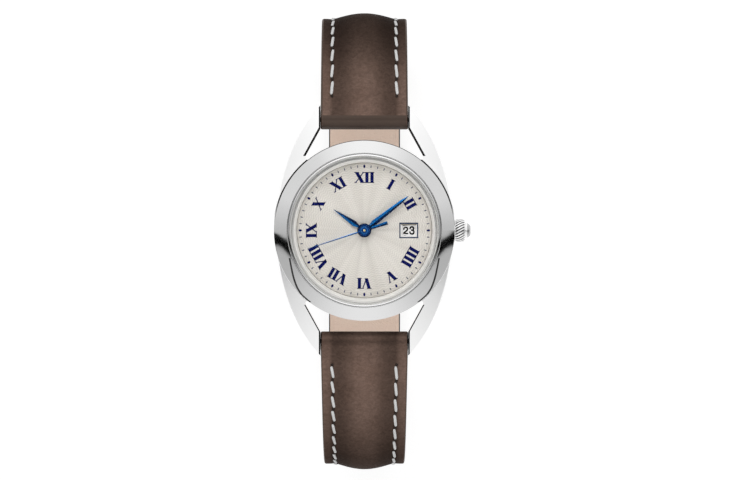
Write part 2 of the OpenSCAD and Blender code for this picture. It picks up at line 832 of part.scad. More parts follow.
module circuit_board() {
    color("green") on_back() translate([0, 0, 2.1]) linear_extrude(height = 0.19)
        polygon([[-3.1, -6.5], [1, -6.5], [0.9, -4.4], [0.3, -3.5], [-0.8, -3.6], [-2.2, -4.6]]);
}

module chip() color("black") on_back() translate([-1.5, -6, 1.6]) cube([1.7, 1.6, 0.5]);

module quartz_can() {
    color("silver") on_back() translate([quartz_at[0] - 2.3, quartz_at[1], 1.85]) rotate([0, 90, 0]) {
        cylinder(r = 0.75, h = 4.4);
        translate([0, 0, 4.4]) cylinder(r = 0.55, h = 0.2);
    }
}

module train_bridge() {
    color("silver") on_back() translate([0, 0, bridge_z]) linear_extrude(height = bridge_t) difference() {
        union() {
            intersection() {
                circle(r = move_r - 0.4);
                polygon([[-9, -2.6], [-9, 0.6], [-3.4, 2.6], [1.2, 7], [5.4, 6.6], [5.6, 4.6], [2.4, 1.8],
                    [1.2, -1.6], [-3, -6.2], [-4.9, -6.2], [-5.2, -4.4]]);
            }
            for (p = posts) translate(p) circle(r = 1);
        }
        for (p = posts) translate(p) circle(r = 0.3, $fn = 32);
        for (p = [[0, 0], third_at, inter_at, rotor_at]) translate(p) circle(r = pivot_r + 0.03, $fn = 32);
    }
}

module movement_screws() {
    color("lightgray") on_back() for (p = concat(posts, [clamp_post]))
        translate([p[0], p[1], 0]) difference() {
            union() {
                translate([0, 0, bridge_z - 0.2]) cylinder(r = 0.5, h = 0.2, $fn = 32);
                translate([0, 0, bridge_z - 0.1]) cylinder(r = 0.28, h = 1.7, $fn = 32);
            }
            translate([0, 0, bridge_z - 0.2]) cube([2, 0.14, 0.16], center = true);
        }
}

// Date
module date_ring() {
    pitch = 360 / 31;
    inner = [for (i = [0:30]) each [for (c = [[-0.32, ring_in], [-0.12, ring_tip], [0.12, ring_tip],
        [0.32, ring_in]]) c[1] * [cos((i + c[0]) * pitch), sin((i + c[0]) * pitch)]]];
    color("white") on_back() translate([0, 0, ring_z]) linear_extrude(height = ring_t) difference() {
        circle(r = ring_out);
        polygon(inner);
    }
}

module date_jumper() {
    color("lightsteelblue") on_back() translate([0, 0, ring_z]) linear_extrude(height = ring_t) union() {
        translate([0.5, -3.6]) circle(r = 0.5, $fn = 32);
        lever_plate([0.5, -3.6], [-2.6, -4.2], 0.16);
        polygon([[-2.5, -4.1], [-3, -4.65], [-2.75, -4.75], [-2.2, -4.25]]);
    }
}

module date_plate() {
    color("lightgray") on_back() difference() {
        translate([0, 0, ring_z + ring_t + 0.03]) cylinder(r = ring_in + 0.1, h = 0.17);
        cylinder(r = tube_r + 0.15, h = 9);
        translate([date_x - date_w / 2 - 0.1, -date_h / 2 - 0.1, 0]) cube([date_w, date_h + 0.2, 9]);
    }
    color("lightgray") on_back() disc([0.5, -3.6], 0.22, ring_z + ring_t, ring_z + ring_t + 0.05);
}

// Strap: place and direction along the middle line of a half, with y counted outwards
function low_y(run, bend) = bar_y + run * cos(strap_slope) + bend * (1 - sin(strap_slope)) - bend_low;
function drop(run, bend) = bar_z - run * sin(strap_slope) - bend * cos(strap_slope) - bend_low - half_t;
function arc_len(r, deg) = r * deg * PI / 180;
function knots(run, bend) = let (a = run, b = a + arc_len(bend, 90 - strap_slope),
    c = b + drop(run, bend), d = c + arc_len(bend_low, 90)) [a, b, c, d];
function place(s, run, bend) =
    let (k = knots(run, bend),
        y1 = bar_y + run * cos(strap_slope),
        z1 = bar_z - run * sin(strap_slope),
        y2 = y1 + bend * (1 - sin(strap_slope)),
        z2 = z1 - bend * cos(strap_slope),
        a1 = strap_slope + (s - k[0]) / bend * 180 / PI,
        a2 = 90 + (s - k[2]) / bend_low * 180 / PI)
    s <= k[0] ? [bar_y + s * cos(strap_slope), bar_z - s * sin(strap_slope), strap_slope] :
    s <= k[1] ? [y1 + bend * (sin(a1) - sin(strap_slope)), z1 - bend * (cos(strap_slope) - cos(a1)), a1] :
    s <= k[2] ? [y2, z2 - (s - k[1]), 90] :
    s <= k[3] ? [y2 - bend_low * (1 - sin(a2)), half_t + bend_low * (1 + cos(a2)), a2] :
    [y2 - bend_low - (s - k[3]), half_t, 180];

function stations(run, bend, end, from) = let (k = knots(run, bend))
    [for (s = concat([from], [for (x = [1:1:5]) if (x > from && x < k[0]) x],
        [for (i = [0:12]) k[0] + (k[1] - k[0]) * i / 12],
        [for (i = [1:4]) k[1] + (k[2] - k[1]) * i / 4],
        [for (i = [1:14]) k[2] + (k[3] - k[2]) * i / 14],
        [for (i = [1:3]) k[3] + (end - k[3]) * i / 3])) s];

function ramp(s, a, b) = max(0, min(1, (s - a) / (b - a)));
function smooth(t) = t * t * (3 - 2 * t);
function width(s, wide) = s < wide[0] ? strap_w + (wide[1] - strap_w) * s / wide[0] :
    wide[1] + (strap_back_w - wide[1]) * ramp(s, wide[0], taper_end);
function padding(s, pad_end) = pad_t * smooth(ramp(s, root_flat, root_flat + pad_rise))
    * (1 - smooth(ramp(s, pad_end - pad_fade, pad_end)));
function root_h(s) = half_t + (roll_r - 0.05 - half_t) * (1 - smooth(ramp(s, 0.4, root_flat)));

function mirrored(half) = concat(half, [for (i = [len(half) - 1:-1:0]) [-half[i][0], half[i][1]]]);
function leather_section(w, pad, top) = let (inset = min(stitch_in, 0.3 * w), g = w / 2 - inset)
    mirrored([[w / 2, leather_low], [w / 2, top - 0.2], [w / 2 - 0.22, top], [g + 0.15 * inset, top],
        [g, top - 0.06], [0.945 * g, top + 0.5 * pad], [0.76 * g, top + 0.84 * pad], [0.3 * g, top + pad]]);
function lining_section(w) = mirrored([[w / 2 - 0.15, -half_t], [w / 2, -half_t + 0.15],
    [w / 2, leather_low]]);
function ring_at(p, section) = [for (c = section)
    [-c[0], p[0] + c[1] * sin(p[2]), p[1] + c[1] * cos(p[2])]];

// Width of the tail narrows to a point over its last stretch
point_len = 9;
function tip_w(s, end, w) = s < end - point_len ? w :
    let (t = (s - end + point_len) / point_len) max(1.6, w * sqrt(max(0, 1 - t * t)));
function tail_stations(end) = [for (t = [0.25, 0.5, 0.68, 0.82, 0.92, 0.98]) end - point_len * (1 - t)];

function end_12() = knots(run_12, bend_12)[3] + low_y(run_12, bend_12) - buckle_y;
function end_6() = knots(run_6, bend_6)[3] + low_y(run_6, bend_6) + tip_y;
function line_6(from) = [for (s = concat(stations(run_6, bend_6, end_6() - point_len, from),
    tail_stations(end_6()))) s];

module roll() {
    translate([-roll_w / 2, bar_y, bar_z]) rotate([0, 90, 0]) cylinder(r = roll_r, h = roll_w);
}

module bar_bore() translate([-strap_w, bar_y, bar_z]) rotate([0, 90, 0])
    cylinder(r = bar_bore_r, h = 2 * strap_w);

module buckle_roll_x(x0, x1, r) translate([x0, buckle_y, half_t]) rotate([0, 90, 0])
    cylinder(r = r, h = x1 - x0);

module tongue_cut() translate([-tongue_slot, buckle_y - 3, -1]) cube([2 * tongue_slot, 4.6, strap_t + 3]);

module strap_12_leather() {
    color("rosybrown") difference() {
        union() {
            loft([for (s = stations(run_12, bend_12, end_12(), 0))
                ring_at(place(s, run_12, bend_12),
                    leather_section(width(s, wide_12), padding(s, pad_end_12), root_h(s)))]);
            roll();
            buckle_roll_x(-strap_back_w / 2, strap_back_w / 2, end_roll_r);
        }
        bar_bore();
        buckle_roll_x(-9, 9, buckle_bar_r + 0.06);
        tongue_cut();
    }
}

module strap_12_lining() {
    color("tan") difference() {
        loft([for (s = stations(run_12, bend_12, end_12() - 1.3, 2))
            ring_at(place(s, run_12, bend_12), lining_section(width(s, wide_12)))]);
        tongue_cut();
    }
}

module hole_cuts() {
    for (i = [0:holes - 1]) let (p = place(end_6() - first_hole - i * hole_pitch, run_6, bend_6))
        translate([0, p[0], p[1]]) rotate([-p[2], 0, 0])
            cylinder(r = hole_r, h = 6, center = true, $fn = 32);
}

module strap_6_leather() {
    color("rosybrown") mirror([0, 1, 0]) difference() {
        union() {
            loft([for (s = line_6(0)) ring_at(place(s, run_6, bend_6),
                leather_section(tip_w(s, end_6(), width(s, wide_6)), padding(s, pad_end_6), root_h(s)))]);
            roll();
        }
        bar_bore();
        hole_cuts();
    }
}

module strap_6_lining() {
    color("tan") mirror([0, 1, 0]) difference() {
        loft([for (s = line_6(2)) ring_at(place(s, run_6, bend_6),
            lining_section(tip_w(s, end_6(), width(s, wide_6))))]);
        hole_cuts();
    }
}

module at_bars() for (y = [-bar_y, bar_y]) translate([0, y, bar_z]) rotate([0, 90, 0]) children();

module spring_bar_tubes() {
    color("silver") at_bars() difference() {
        cylinder(r = bar_r, h = slot_w - 0.8, center = true, $fn = 48);
        cylinder(r = tip_r + 0.02, h = slot_w, center = true, $fn = 48);
    }
}

module spring_bar_tips() {
    tip_in = 1.3;                 // length in the tube and in the arm
    tip_out = 0.7;
    collar = 0.62;
    color("gainsboro") at_bars() for (side = [-1, 1]) scale([1, 1, side]) {
        translate([0, 0, slot_x - tip_in]) cylinder(r = tip_r, h = tip_in + tip_out, $fn = 48);
        translate([0, 0, slot_x - 0.38]) cylinder(r = collar, h = 0.2, $fn = 48);
    }
}

// A keeper is a flat loop of leather that follows the bottom bend of the strap
module keeper(from) {
    inner = bend_low - half_t - keeper_play;
    outer = bend_low + half_t + keeper_room / 2 + keeper_play;
    half = strap_back_w / 2 + keeper_play;
    deg = keeper_len / bend_low * 180 / PI;
    translate([0, low_y(run_12, bend_12), bend_low + half_t]) rotate([0, 90, 0]) rotate(from)
        rotate_extrude(angle = deg) difference() {
            translate([inner - keeper_t, -half - keeper_t])
                square([outer - inner + 2 * keeper_t, 2 * (half + keeper_t)]);
            translate([inner, -half]) square([outer - inner, 2 * half]);
        }
}

module fixed_keeper() color("rosybrown") keeper(keeper_from);

module loose_keeper() color("rosybrown") keeper(keeper_from + keeper_len / bend_low * 180 / PI + 2);

module buckle_frame() {
    low = 0.92;
    out = frame_in + frame_w;
    far = buckle_y - buckle_len;
    color("silver") difference() {
        union() {
            translate([0, 0, low]) linear_extrude(height = buckle_t) difference() {
                intersection() {
                    translate([-out, far]) square([2 * out, buckle_len + 0.9]);
                    translate([0, far + 16]) circle(r = 16.2);
                }
                translate([-frame_in, far + 1.6]) square([2 * frame_in, buckle_len + 3]);
            }
            for (side = [-1, 1]) translate([side * (frame_in + frame_w / 2), buckle_y, half_t])
                rotate([0, 90, 0]) cylinder(r = 1.05, h = frame_w, center = true);
        }
        buckle_roll_x(-9, 9, buckle_bar_r + 0.01);
        translate([-tongue_w / 2 - 0.15, far - 1, low - 0.5]) cube([tongue_w + 0.3, 4, 0.65]);
    }
}

module buckle_bar() {
    color("gainsboro") buckle_roll_x(-frame_in - frame_w + 0.1, frame_in + frame_w - 0.1, buckle_bar_r);
}

module buckle_tongue() {
    reach = buckle_len - 0.1;
    color("silver") difference() {
        union() {
            translate([-tongue_w / 2, buckle_y, half_t]) rotate([0, 90, 0]) cylinder(r = 1.04, h = tongue_w);
            translate([-tongue_w / 2, buckle_y - reach, 0.06]) cube([tongue_w, reach, 0.8]);
        }
        buckle_roll_x(-9, 9, buckle_bar_r + run_gap);
    }
}

mid_case();
bezel();
crystal();
crystal_gasket();
flange_ring();
case_back();
case_back_gasket();
crown_tube();
movement_holder();
crown();
crown_gasket();
stem();
clutch();
setting_lever();
yoke();
dial();
hour_hand();
minute_hand();
seconds_hand();
main_plate();
battery();
battery_clamp();
circuit_board();
chip();
quartz_can();
coil();
coil_core();
stator();
rotor();
intermediate_wheel();
seconds_wheel();
third_wheel();
centre_wheel();
minute_wheel();
hour_wheel();
setting_wheel();
date_wheel();
date_ring();
date_jumper();
date_plate();
train_bridge();
movement_screws();
strap_12_leather();
strap_12_lining();
strap_6_leather();
strap_6_lining();
spring_bar_tubes();
spring_bar_tips();
fixed_keeper();
loose_keeper();
buckle_frame();
buckle_tongue();
buckle_bar();
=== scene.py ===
import math
import bmesh
import bpy
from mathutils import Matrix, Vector


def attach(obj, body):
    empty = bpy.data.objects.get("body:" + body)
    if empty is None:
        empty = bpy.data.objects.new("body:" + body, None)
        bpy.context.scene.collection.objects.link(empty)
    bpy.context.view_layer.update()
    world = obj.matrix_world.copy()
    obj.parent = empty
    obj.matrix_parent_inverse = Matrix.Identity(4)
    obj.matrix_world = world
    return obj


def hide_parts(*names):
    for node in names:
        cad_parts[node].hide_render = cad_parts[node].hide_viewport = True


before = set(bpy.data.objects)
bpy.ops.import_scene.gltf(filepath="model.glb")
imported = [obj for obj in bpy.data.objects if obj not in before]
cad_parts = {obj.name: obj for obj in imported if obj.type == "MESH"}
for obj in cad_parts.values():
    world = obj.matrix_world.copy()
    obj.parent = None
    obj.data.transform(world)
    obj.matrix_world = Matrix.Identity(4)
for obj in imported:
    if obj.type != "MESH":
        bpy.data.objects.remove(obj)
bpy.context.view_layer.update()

mm = 0.001
scene = bpy.context.scene


# Camera straight above the dial, long lens, 6.03 pixels to the millimetre
cameraSettings = {"pixelsPerMm": 6.03, "imageWidth": 750, "sensor": 36, "distance": 2.5,
                  "dialPixel": (364.3, 230.4), "middlePixel": (375, 240), "bezelTop": 53.7}


def makeCamera(s):
    data = bpy.data.cameras.new("cameraAbove")
    data.sensor_width = s["sensor"]
    data.lens = s["distance"] * s["sensor"] / (s["imageWidth"] / s["pixelsPerMm"] * mm)
    data.clip_start, data.clip_end = 0.1, 10
    camera = bpy.data.objects.new("cameraAbove", data)
    scene.collection.objects.link(camera)
    right, up = [(m - d) / s["pixelsPerMm"] * mm for m, d in zip(s["middlePixel"], s["dialPixel"])]
    camera.location = (right, -up, s["bezelTop"] * mm + s["distance"])
    scene.camera = camera


makeCamera(cameraSettings)
scene.view_settings.view_transform = "Standard"
print("camera done")


# Small helpers
def linear(hexCode):
    parts = [int(hexCode[i:i + 2], 16) / 255 for i in (1, 3, 5)]
    return [c / 12.92 if c <= 0.04045 else ((c + 0.055) / 1.055) ** 2.4 for c in parts] + [1.0]


def feed(tree, node, inputs):
    # a list fills the first inputs in order; each takes a constant, a socket, or a node for its first output
    for key, value in inputs.items() if isinstance(inputs, dict) else enumerate(inputs):
        if isinstance(value, bpy.types.Node):
            value = value.outputs[0]
        if isinstance(value, bpy.types.NodeSocket):
            tree.links.new(value, node.inputs[key])
        else:
            node.inputs[key].default_value = value
    return node


def addNode(tree, kind, inputs={}, **settings):
    # a kind written without "Node" is a shader node; a word after it is its operation
    kind, *operation = kind.split()
    node = tree.nodes.new(kind if "Node" in kind else "ShaderNode" + kind)
    if operation:
        node.operation = operation[0]
    for key, value in settings.items():
        setattr(node, key, value)
    return feed(tree, node, inputs)


def newMaterial(name, hexCode, sockets={}):
    material = bpy.data.materials.new(name)
    material.use_nodes = True
    tree = material.node_tree
    tree.nodes.clear()
    shader = addNode(tree, "BsdfPrincipled", {"Base Color": linear(hexCode), **sockets})
    addNode(tree, "OutputMaterial", {"Surface": shader})
    return material, tree, shader, addNode(tree, "TexCoord").outputs["Object"]


def scaled(tree, place, size):
    # size is the repeat of the pattern in millimetres, one number or three for X, Y and Z
    sizes = size if isinstance(size, tuple) else (size,) * 3
    return addNode(tree, "Mapping", {"Vector": place, "Scale": [1 / (v * mm) for v in sizes]})


def addGrain(tree, place, size, **inputs):
    return addNode(tree, "TexNoise", {"Vector": scaled(tree, place, size), "Scale": 1.0, **inputs})


def addBump(tree, shader, height, depthMm, strength=1.0):
    bump = addNode(tree, "Bump", {"Height": height, "Strength": strength, "Distance": depthMm * mm})
    feed(tree, shader, {"Normal": bump})
    return bump


def mixColours(tree, factor, first, second, blend="MIX"):
    # each colour is a hex code or a socket
    pair = [linear(c) if isinstance(c, str) else c for c in (first, second)]
    mix = addNode(tree, "Mix", {0: factor, 6: pair[0], 7: pair[1]}, data_type="RGBA", blend_type=blend)
    return mix.outputs[2]


def varyColour(tree, shader, factor, first, second):
    feed(tree, shader, {"Base Color": mixColours(tree, factor, first, second)})


def varyRoughness(tree, shader, factor, low, high):
    feed(tree, shader, {"Roughness": addNode(tree, "MapRange", [factor, 0, 1, low, high])})


def addRamp(tree, value, stops):
    ramp = addNode(tree, "ValToRGB", [value])
    dots = ramp.color_ramp.elements
    while len(dots) < len(stops):
        dots.new(0.5)
    for dot, (at, tone) in zip(dots, stops):
        dot.position, dot.color = at, (tone, tone, tone, 1)
    return ramp


def within(tree, value, low, high, unit=1):
    # a mask of 1 between the two values
    above = addNode(tree, "Math GREATER_THAN", [value, low * unit])
    below = addNode(tree, "Math LESS_THAN", [value, high * unit])
    return addNode(tree, "Math MULTIPLY", [above, below])


def polar(tree, place):
    # radius in mm and angle in radians about the hand axis
    flat = addNode(tree, "VectorMath MULTIPLY", [place, (1000, 1000, 0)])
    part = addNode(tree, "SeparateXYZ", [flat]).outputs
    angle = addNode(tree, "Math ARCTAN2", [part[1], part[0]])
    return addNode(tree, "VectorMath LENGTH", [flat]).outputs["Value"], angle


# Light: white tent, greyer towards 3 and 9 o'clock, with one dark gap on the 6 o'clock side for the lens
lightSettings = {"roomForDiffuse": 0.42, "tent": 1.2, "keyPower": 3.9, "fillPower": 2.2, "sidePower": 0.7}
# tone of the walls over the compass direction, from 6 o'clock at 0 to 12 o'clock at 1
tentTones = ((0.0, 0.88), (0.1, 0.68), (0.25, 0.5), (0.4, 0.48), (0.45, 0.5), (0.52, 0.56), (0.69, 0.76), (0.85, 0.74),
             (0.92, 0.79), (1.0, 1.0))
# the gap is soft below, over y from -0.3 to 0, and crisp above, over y/z from -0.2 to 0
gapBelow = ((0.0, 1.0), (0.25, 1.0), (0.42, 0.78), (0.53, 0.0))
gapAbove = ((0.5, 0.0), (0.62, 0.8), (0.8, 1.0))
# over the height z of the direction, the gap reaches lower by this share of 0.2
gapDeeper = ((0.3, 0.0), (0.63, 0.06), (0.76, 0.14), (0.81, 0.32), (0.866, 0.46), (0.9, 0.0))


def makeWorld(s):
    scene.world = bpy.data.worlds.new("studio")
    scene.world.use_nodes = True
    tree = scene.world.node_tree
    tree.nodes.clear()
    place = addNode(tree, "TexCoord").outputs["Generated"]
    toward = addNode(tree, "SeparateXYZ", [place]).outputs
    level = addNode(tree, "VectorMath MULTIPLY", [place, (1, 1, 0)])
    compass = addNode(tree, "VectorMath NORMALIZE", [level])
    north = addNode(tree, "SeparateXYZ", [compass]).outputs[1]
    walls = addRamp(tree, addNode(tree, "MapRange", [north, -1.0]), tentTones)
    above = addNode(tree, "MapRange", [toward[2], 0.8, 0.95, 0, 0.5])
    tent = addNode(tree, "Mix", {0: above, 2: walls, 3: 1.0})
    deeper = addRamp(tree, toward[2], gapDeeper)
    lowered = addNode(tree, "Math MULTIPLY_ADD", [deeper, 0.2, toward[1]])
    low = addNode(tree, "MapRange", [lowered, -0.3, 0.0])
    slope = addNode(tree, "Math DIVIDE", [toward[1], toward[2]])
    high = addNode(tree, "MapRange", [slope, -0.2, 0.0])
    gap = addNode(tree, "Math MAXIMUM", [addRamp(tree, low, gapBelow), addRamp(tree, high, gapAbove)])
    seen = addNode(tree, "Math MULTIPLY", [tent, gap])
    bright = addNode(tree, "Math MULTIPLY", [seen, s["tent"]])
    rays = addNode(tree, "LightPath").outputs
    plain = addNode(tree, "Math MAXIMUM", [rays["Is Camera Ray"], rays["Is Transmission Ray"]])
    mirror = addNode(tree, "Mix", {0: rays["Is Glossy Ray"], 2: s["roomForDiffuse"], 3: bright})
    strength = addNode(tree, "Mix", {0: plain, 2: mirror, 3: 1.0})
    back = addNode(tree, "Background", {"Color": linear("#ffffff"), "Strength": strength})
    addNode(tree, "OutputWorld", {"Surface": back})


def makeLamp(name, place, width, depth, power):
    data = bpy.data.lights.new(name, "AREA")
    data.shape, data.size, data.size_y, data.energy = "RECTANGLE", width, depth, power
    lamp = bpy.data.objects.new(name, data)
    scene.collection.objects.link(lamp)
    lamp.location = place
    lamp.visible_glossy = False       # the tent alone shows in the steel
    lamp.rotation_mode = "QUATERNION"
    lamp.rotation_quaternion = (Vector(place) - Vector((0, 0, 0.04))).to_track_quat("Z", "Y")


def makeFloor():
    material, tree, shader = newMaterial("paintedFloor", "#9c9c9c", {"Roughness": 0.9})[:3]
    rays = addNode(tree, "LightPath").outputs
    seen = addNode(tree, "Math MAXIMUM", [rays["Is Camera Ray"], rays["Is Glossy Ray"]])
    more = addNode(tree, "Math MAXIMUM", [seen, rays["Is Transmission Ray"]])
    lift = addNode(tree, "Math MULTIPLY", [more, 0.8])
    glow = addNode(tree, "Emission", {"Color": linear("#ffffff"), "Strength": lift})
    both = addNode(tree, "AddShader", [shader, glow])
    feed(tree, tree.nodes["Material Output"], [both])
    mesh = bpy.data.meshes.new("floor")
    mesh.from_pydata([(-4, -4, 0), (4, -4, 0), (4, 4, 0), (-4, 4, 0)], [], [(0, 1, 2, 3)])
    mesh.materials.append(material)
    floor = bpy.data.objects.new("floor", mesh)
    scene.collection.objects.link(floor)
    floor.location.z = -0.0001


makeWorld(lightSettings)
makeLamp("softbox12", (-0.1, 0.75, 0.75), 0.9, 0.5, lightSettings["keyPower"])
makeLamp("softbox6", (0.1, -0.85, 0.6), 0.8, 0.4, lightSettings["fillPower"])
for side in (-1, 1):
    makeLamp("sideCard", (side * 0.8, 0, 0.4), 0.5, 0.5, lightSettings["sidePower"])
makeFloor()
print("studio done")


# Materials of one grain, which varies the colour, the roughness and the height
def grained(name, dark, light, size, detail, rough, depthMm, sockets={}):
    material, tree, shader, place = newMaterial(name, dark, sockets)
    grain = addGrain(tree, place, size, Detail=detail)
    if light:
        varyColour(tree, shader, grain, dark, light)
    if rough:
        varyRoughness(tree, shader, grain, *rough)
    addBump(tree, shader, grain, depthMm)
    return material


def polishedSteel(name, hexCode="#dedede", low=0.05, high=0.12):
    # polished 316L: mirror with hairlines, which break the reflection a little
    return grained(name, hexCode, None, (0.6, 0.09, 0.6), 3.0, (low, high), 0.0008, {"Metallic": 1.0})


def groundSteel(name, hexCode, grit, rough):
    # flat-ground or plated metal: short directional scratches
    return grained(name, hexCode, None, (grit, grit * 12, grit), 5.0, (rough - 0.08, rough + 0.1), 0.003,
                   {"Metallic": 1.0})


def moulded(name, hexCode, lighter, rough, size=0.4):
    # injection moulded or pressed: a fine even texture
    return grained(name, hexCode, lighter, size, 6.0, (rough - 0.06, rough + 0.08), 0.004)


def lacquer(name, hexCode, lighter):
    # pad-printed lacquer, satin, with a slightly uneven top
    return grained(name, hexCode, lighter, 0.3, 2.0, None, 0.002, {"Roughness": 0.5, "Specular IOR Level": 0.1})


def linenThread():
    # waxed linen thread: the plies show as uneven light and dark
    return grained("linenThread", "#d6d6d5", "#fafafa", (0.14, 0.3, 0.14), 2.0, None, 0.05, {"Roughness": 0.7})


# Case and bezel: places of their dark lines, painted shadow and painted reflection, in millimetres
paintedLineSettings = {"grooveShadeY": (1, 4), "bezelGrooveShade": (14.9, 15.2), "caseGrooveShade": (14.9, 15.15), "reflectionFrom": -12,
                "reflectionTo": -2, "reflectionY": (-11.9, -4.6), "reflectionUnit": 2.2, "reflectionBand": (12.88, 13.14),
                "bevelReflectionY": (12.35, 17.4), "bevelReflectionFoot": (14.68, 14.84), "strapShadowX": (6.5, 7.56), "strapShadowY": (16.5, 30)}
# the painted reflection line on the 6 o'clock side: how far it runs inside its radius, in its units, over y
reflectionLinePath = ((0.0, 0.86), (0.14, 0.85), (0.25, 0.74), (0.38, 0.55), (0.55, 0.3), (0.66, 0.17), (0.8, 0.04), (1.0, 0.0))


def upperSide(tree, place, mask):
    # the painted shadow line at the bezel's foot shows on the 12 o'clock side
    y = addNode(tree, "SeparateXYZ", [place]).outputs[1]
    share = addNode(tree, "MapRange", [y] + [v * mm for v in paintedLineSettings["grooveShadeY"]])
    return addNode(tree, "Math MULTIPLY", [mask, share])


# a dark line of painted reflection across the bezel on the 6 o'clock side
def lowerSeam(tree, place, radius, s=paintedLineSettings):
    y = addNode(tree, "SeparateXYZ", [place]).outputs[1]
    along = addNode(tree, "MapRange", [y, s["reflectionFrom"] * mm, s["reflectionTo"] * mm])
    path = addNode(tree, "Math MULTIPLY_ADD", [addRamp(tree, along, reflectionLinePath), -s["reflectionUnit"], radius])
    return addNode(tree, "Math MULTIPLY", [within(tree, path, *s["reflectionBand"]), within(tree, y, *s["reflectionY"], mm)])


def upwardOnly(tree, mask, least):
    # keeps the mask on faces that look up, so that the walls below them stay plain
    facing = addNode(tree, "SeparateXYZ", [addNode(tree, "TexCoord").outputs["Normal"]]).outputs[2]
    upward = addNode(tree, "Math GREATER_THAN", [facing, least])
    return addNode(tree, "Math MULTIPLY", [mask, upward])


def turnedBezel():
    # turned stainless steel: a fine round grain over a bright slope, with a painted shadow line at its foot on the 12
    # o'clock side and a painted reflection line on the 6 o'clock side
    steel = "#dedede"
    material, tree, shader, place = newMaterial("turnedBezelSteel", steel, {"Metallic": 1.0})
    radius, angle = polar(tree, place)
    lines = addNode(tree, "CombineXYZ", [radius, angle])
    stretched = addNode(tree, "VectorMath MULTIPLY", [lines, (9, 3, 1)])
    grain = addNode(tree, "TexNoise", {"Vector": stretched, "Scale": 1.0, "Detail": 4.0})
    varyRoughness(tree, shader, grain, 0.05, 0.1)
    groove = upperSide(tree, place, within(tree, radius, *paintedLineSettings["bezelGrooveShade"]))
    foot = addNode(tree, "Math MAXIMUM", [groove, lowerSeam(tree, place, radius)])
    # both lines are painted in dark grey on the upward faces
    varyColour(tree, shader, upwardOnly(tree, foot, 0.4), steel, "#484848")
    addBump(tree, shader, grain, 0.002)
    return material


def caseArmSteel(s=paintedLineSettings):
    # case and arms: fine satin that softens the reflection; painted dark reflections on the bevels along the strap
    # windows, and painted shadow lines at the bezel's foot and beside the strap
    steel = "#fafafa"
    material, tree, shader, place = newMaterial("satinCaseSteel", steel, {"Metallic": 1.0})
    grain = addGrain(tree, place, (0.25, 0.8, 0.25), Detail=4.0)
    varyRoughness(tree, shader, grain, 0.26, 0.36)
    folded = addNode(tree, "VectorMath ABSOLUTE", [place])
    side = addNode(tree, "SeparateXYZ", [folded]).outputs
    across = addNode(tree, "VectorMath DOT_PRODUCT", [folded, (877, 480, 0)]).outputs["Value"]
    # the painted reflection on the bevel is wider at 12 o'clock than at 6
    y = addNode(tree, "SeparateXYZ", [place]).outputs[1]
    wide = addNode(tree, "MapRange", [y, -0.001, 0.001, *s["bevelReflectionFoot"]])
    inside = addNode(tree, "Math LESS_THAN", [across, wide])
    bevelReflection = addNode(tree, "Math MULTIPLY", [inside, within(tree, side[1], *s["bevelReflectionY"], mm)])
    groove = upperSide(tree, place, within(tree, polar(tree, place)[0], *s["caseGrooveShade"]))
    both = addNode(tree, "Math MAXIMUM", [bevelReflection, groove])
    # painted shadow on the edge of each arm beside the strap
    beside = addNode(tree, "Math MULTIPLY", [within(tree, part, *s[reach], mm)
                                             for part, reach in zip(side, ("strapShadowX", "strapShadowY"))])
    marked = addNode(tree, "Math MAXIMUM", [both, beside])
    # the painted reflection and the painted shadow marks all take this near-black
    varyColour(tree, shader, upwardOnly(tree, marked, 0.1), steel, "#1c1c1c")
    addBump(tree, shader, grain, 0.001)
    return material


def bluedSteel(name, paintedLitSide):
    # thermally blued hand: the facet on the lit side is painted lighter and the other is painted dark as shade
    material, tree, shader, place = newMaterial(name, "#05508c", {"Metallic": 0.9})
    side = addNode(tree, "VectorMath DOT_PRODUCT", [place, paintedLitSide + (0,)]).outputs["Value"]
    light = addNode(tree, "Math GREATER_THAN", [side, 0.0])
    colour = mixColours(tree, light, "#041b40", "#06558f")
    # the hub with a painted shaded rim and a lighter ring inside it, and the pale end of the seconds pin: radius from
    # and to, and colour
    radius = polar(tree, place)[0]
    for low, high, hexCode in ((-1, 1.2, "#062c60"), (0.98, 1.2, "#031838"), (0.42, 0.68, "#1d5590"),
                               (0.0, 0.2, "#b9c4cf")):
        colour = mixColours(tree, within(tree, radius, low, high), colour, hexCode)
    feed(tree, shader, {"Base Color": colour})
    varyRoughness(tree, shader, addGrain(tree, place, 1.5), 0.2, 0.32)
    return material


def copperWinding():
    # enamelled wire 0.1 mm thick, drawn coarser (0.16 mm) so that the turns show
    material, tree, shader, place = newMaterial("enamelledCopper", "#b5622f", {"Metallic": 1.0, "Roughness": 0.3})
    along = scaled(tree, place, 0.16)
    along.inputs["Rotation"].default_value = (0, 0, -math.radians(30.6))
    turns = addNode(tree, "TexWave", {"Vector": along, "Scale": 0.5, "Distortion": 0.4})
    varyColour(tree, shader, turns, "#7c3a1b", "#cf7a41")
    addBump(tree, shader, turns, 0.03)
    return material


def glowingDisc():
    # date disc in white with painted light: a little emission lifts it out of the shade of its window
    material = moulded("glowLiftedWhiteDisc", "#fafafa", "#ffffff", 0.5)
    shader = material.node_tree.nodes["Principled BSDF"]
    feed(material.node_tree, shader, {"Emission Color": linear("#ffffff"), "Emission Strength": 0.22})
    return material


def mineralGlass():
    # ground and polished crystal, coated against glare: an IOR of 1.1 keeps its reflection as weak as the coating
    # does; shadow rays pass, so the dial stays lit
    material, tree, shader = newMaterial("mineralGlass", "#ffffff", {
        "Roughness": 0.0, "IOR": 1.1, "Transmission Weight": 1.0, "Specular Tint": linear("#b0b0b0")})[:3]
    rays = addNode(tree, "LightPath").outputs
    passing = addNode(tree, "Math MAXIMUM", [rays["Is Shadow Ray"], rays["Is Diffuse Ray"]])
    mix = addNode(tree, "MixShader", [passing, shader, addNode(tree, "BsdfTransparent")])
    feed(tree, tree.nodes["Material Output"], [mix])
    return material


# the real rings stand 0.23 mm apart; 0.4 mm shows at this size
dialSettings = {"ringPitch": 0.4, "waveCount": 48, "waveHeight": 0.12, "depth": 0.012}


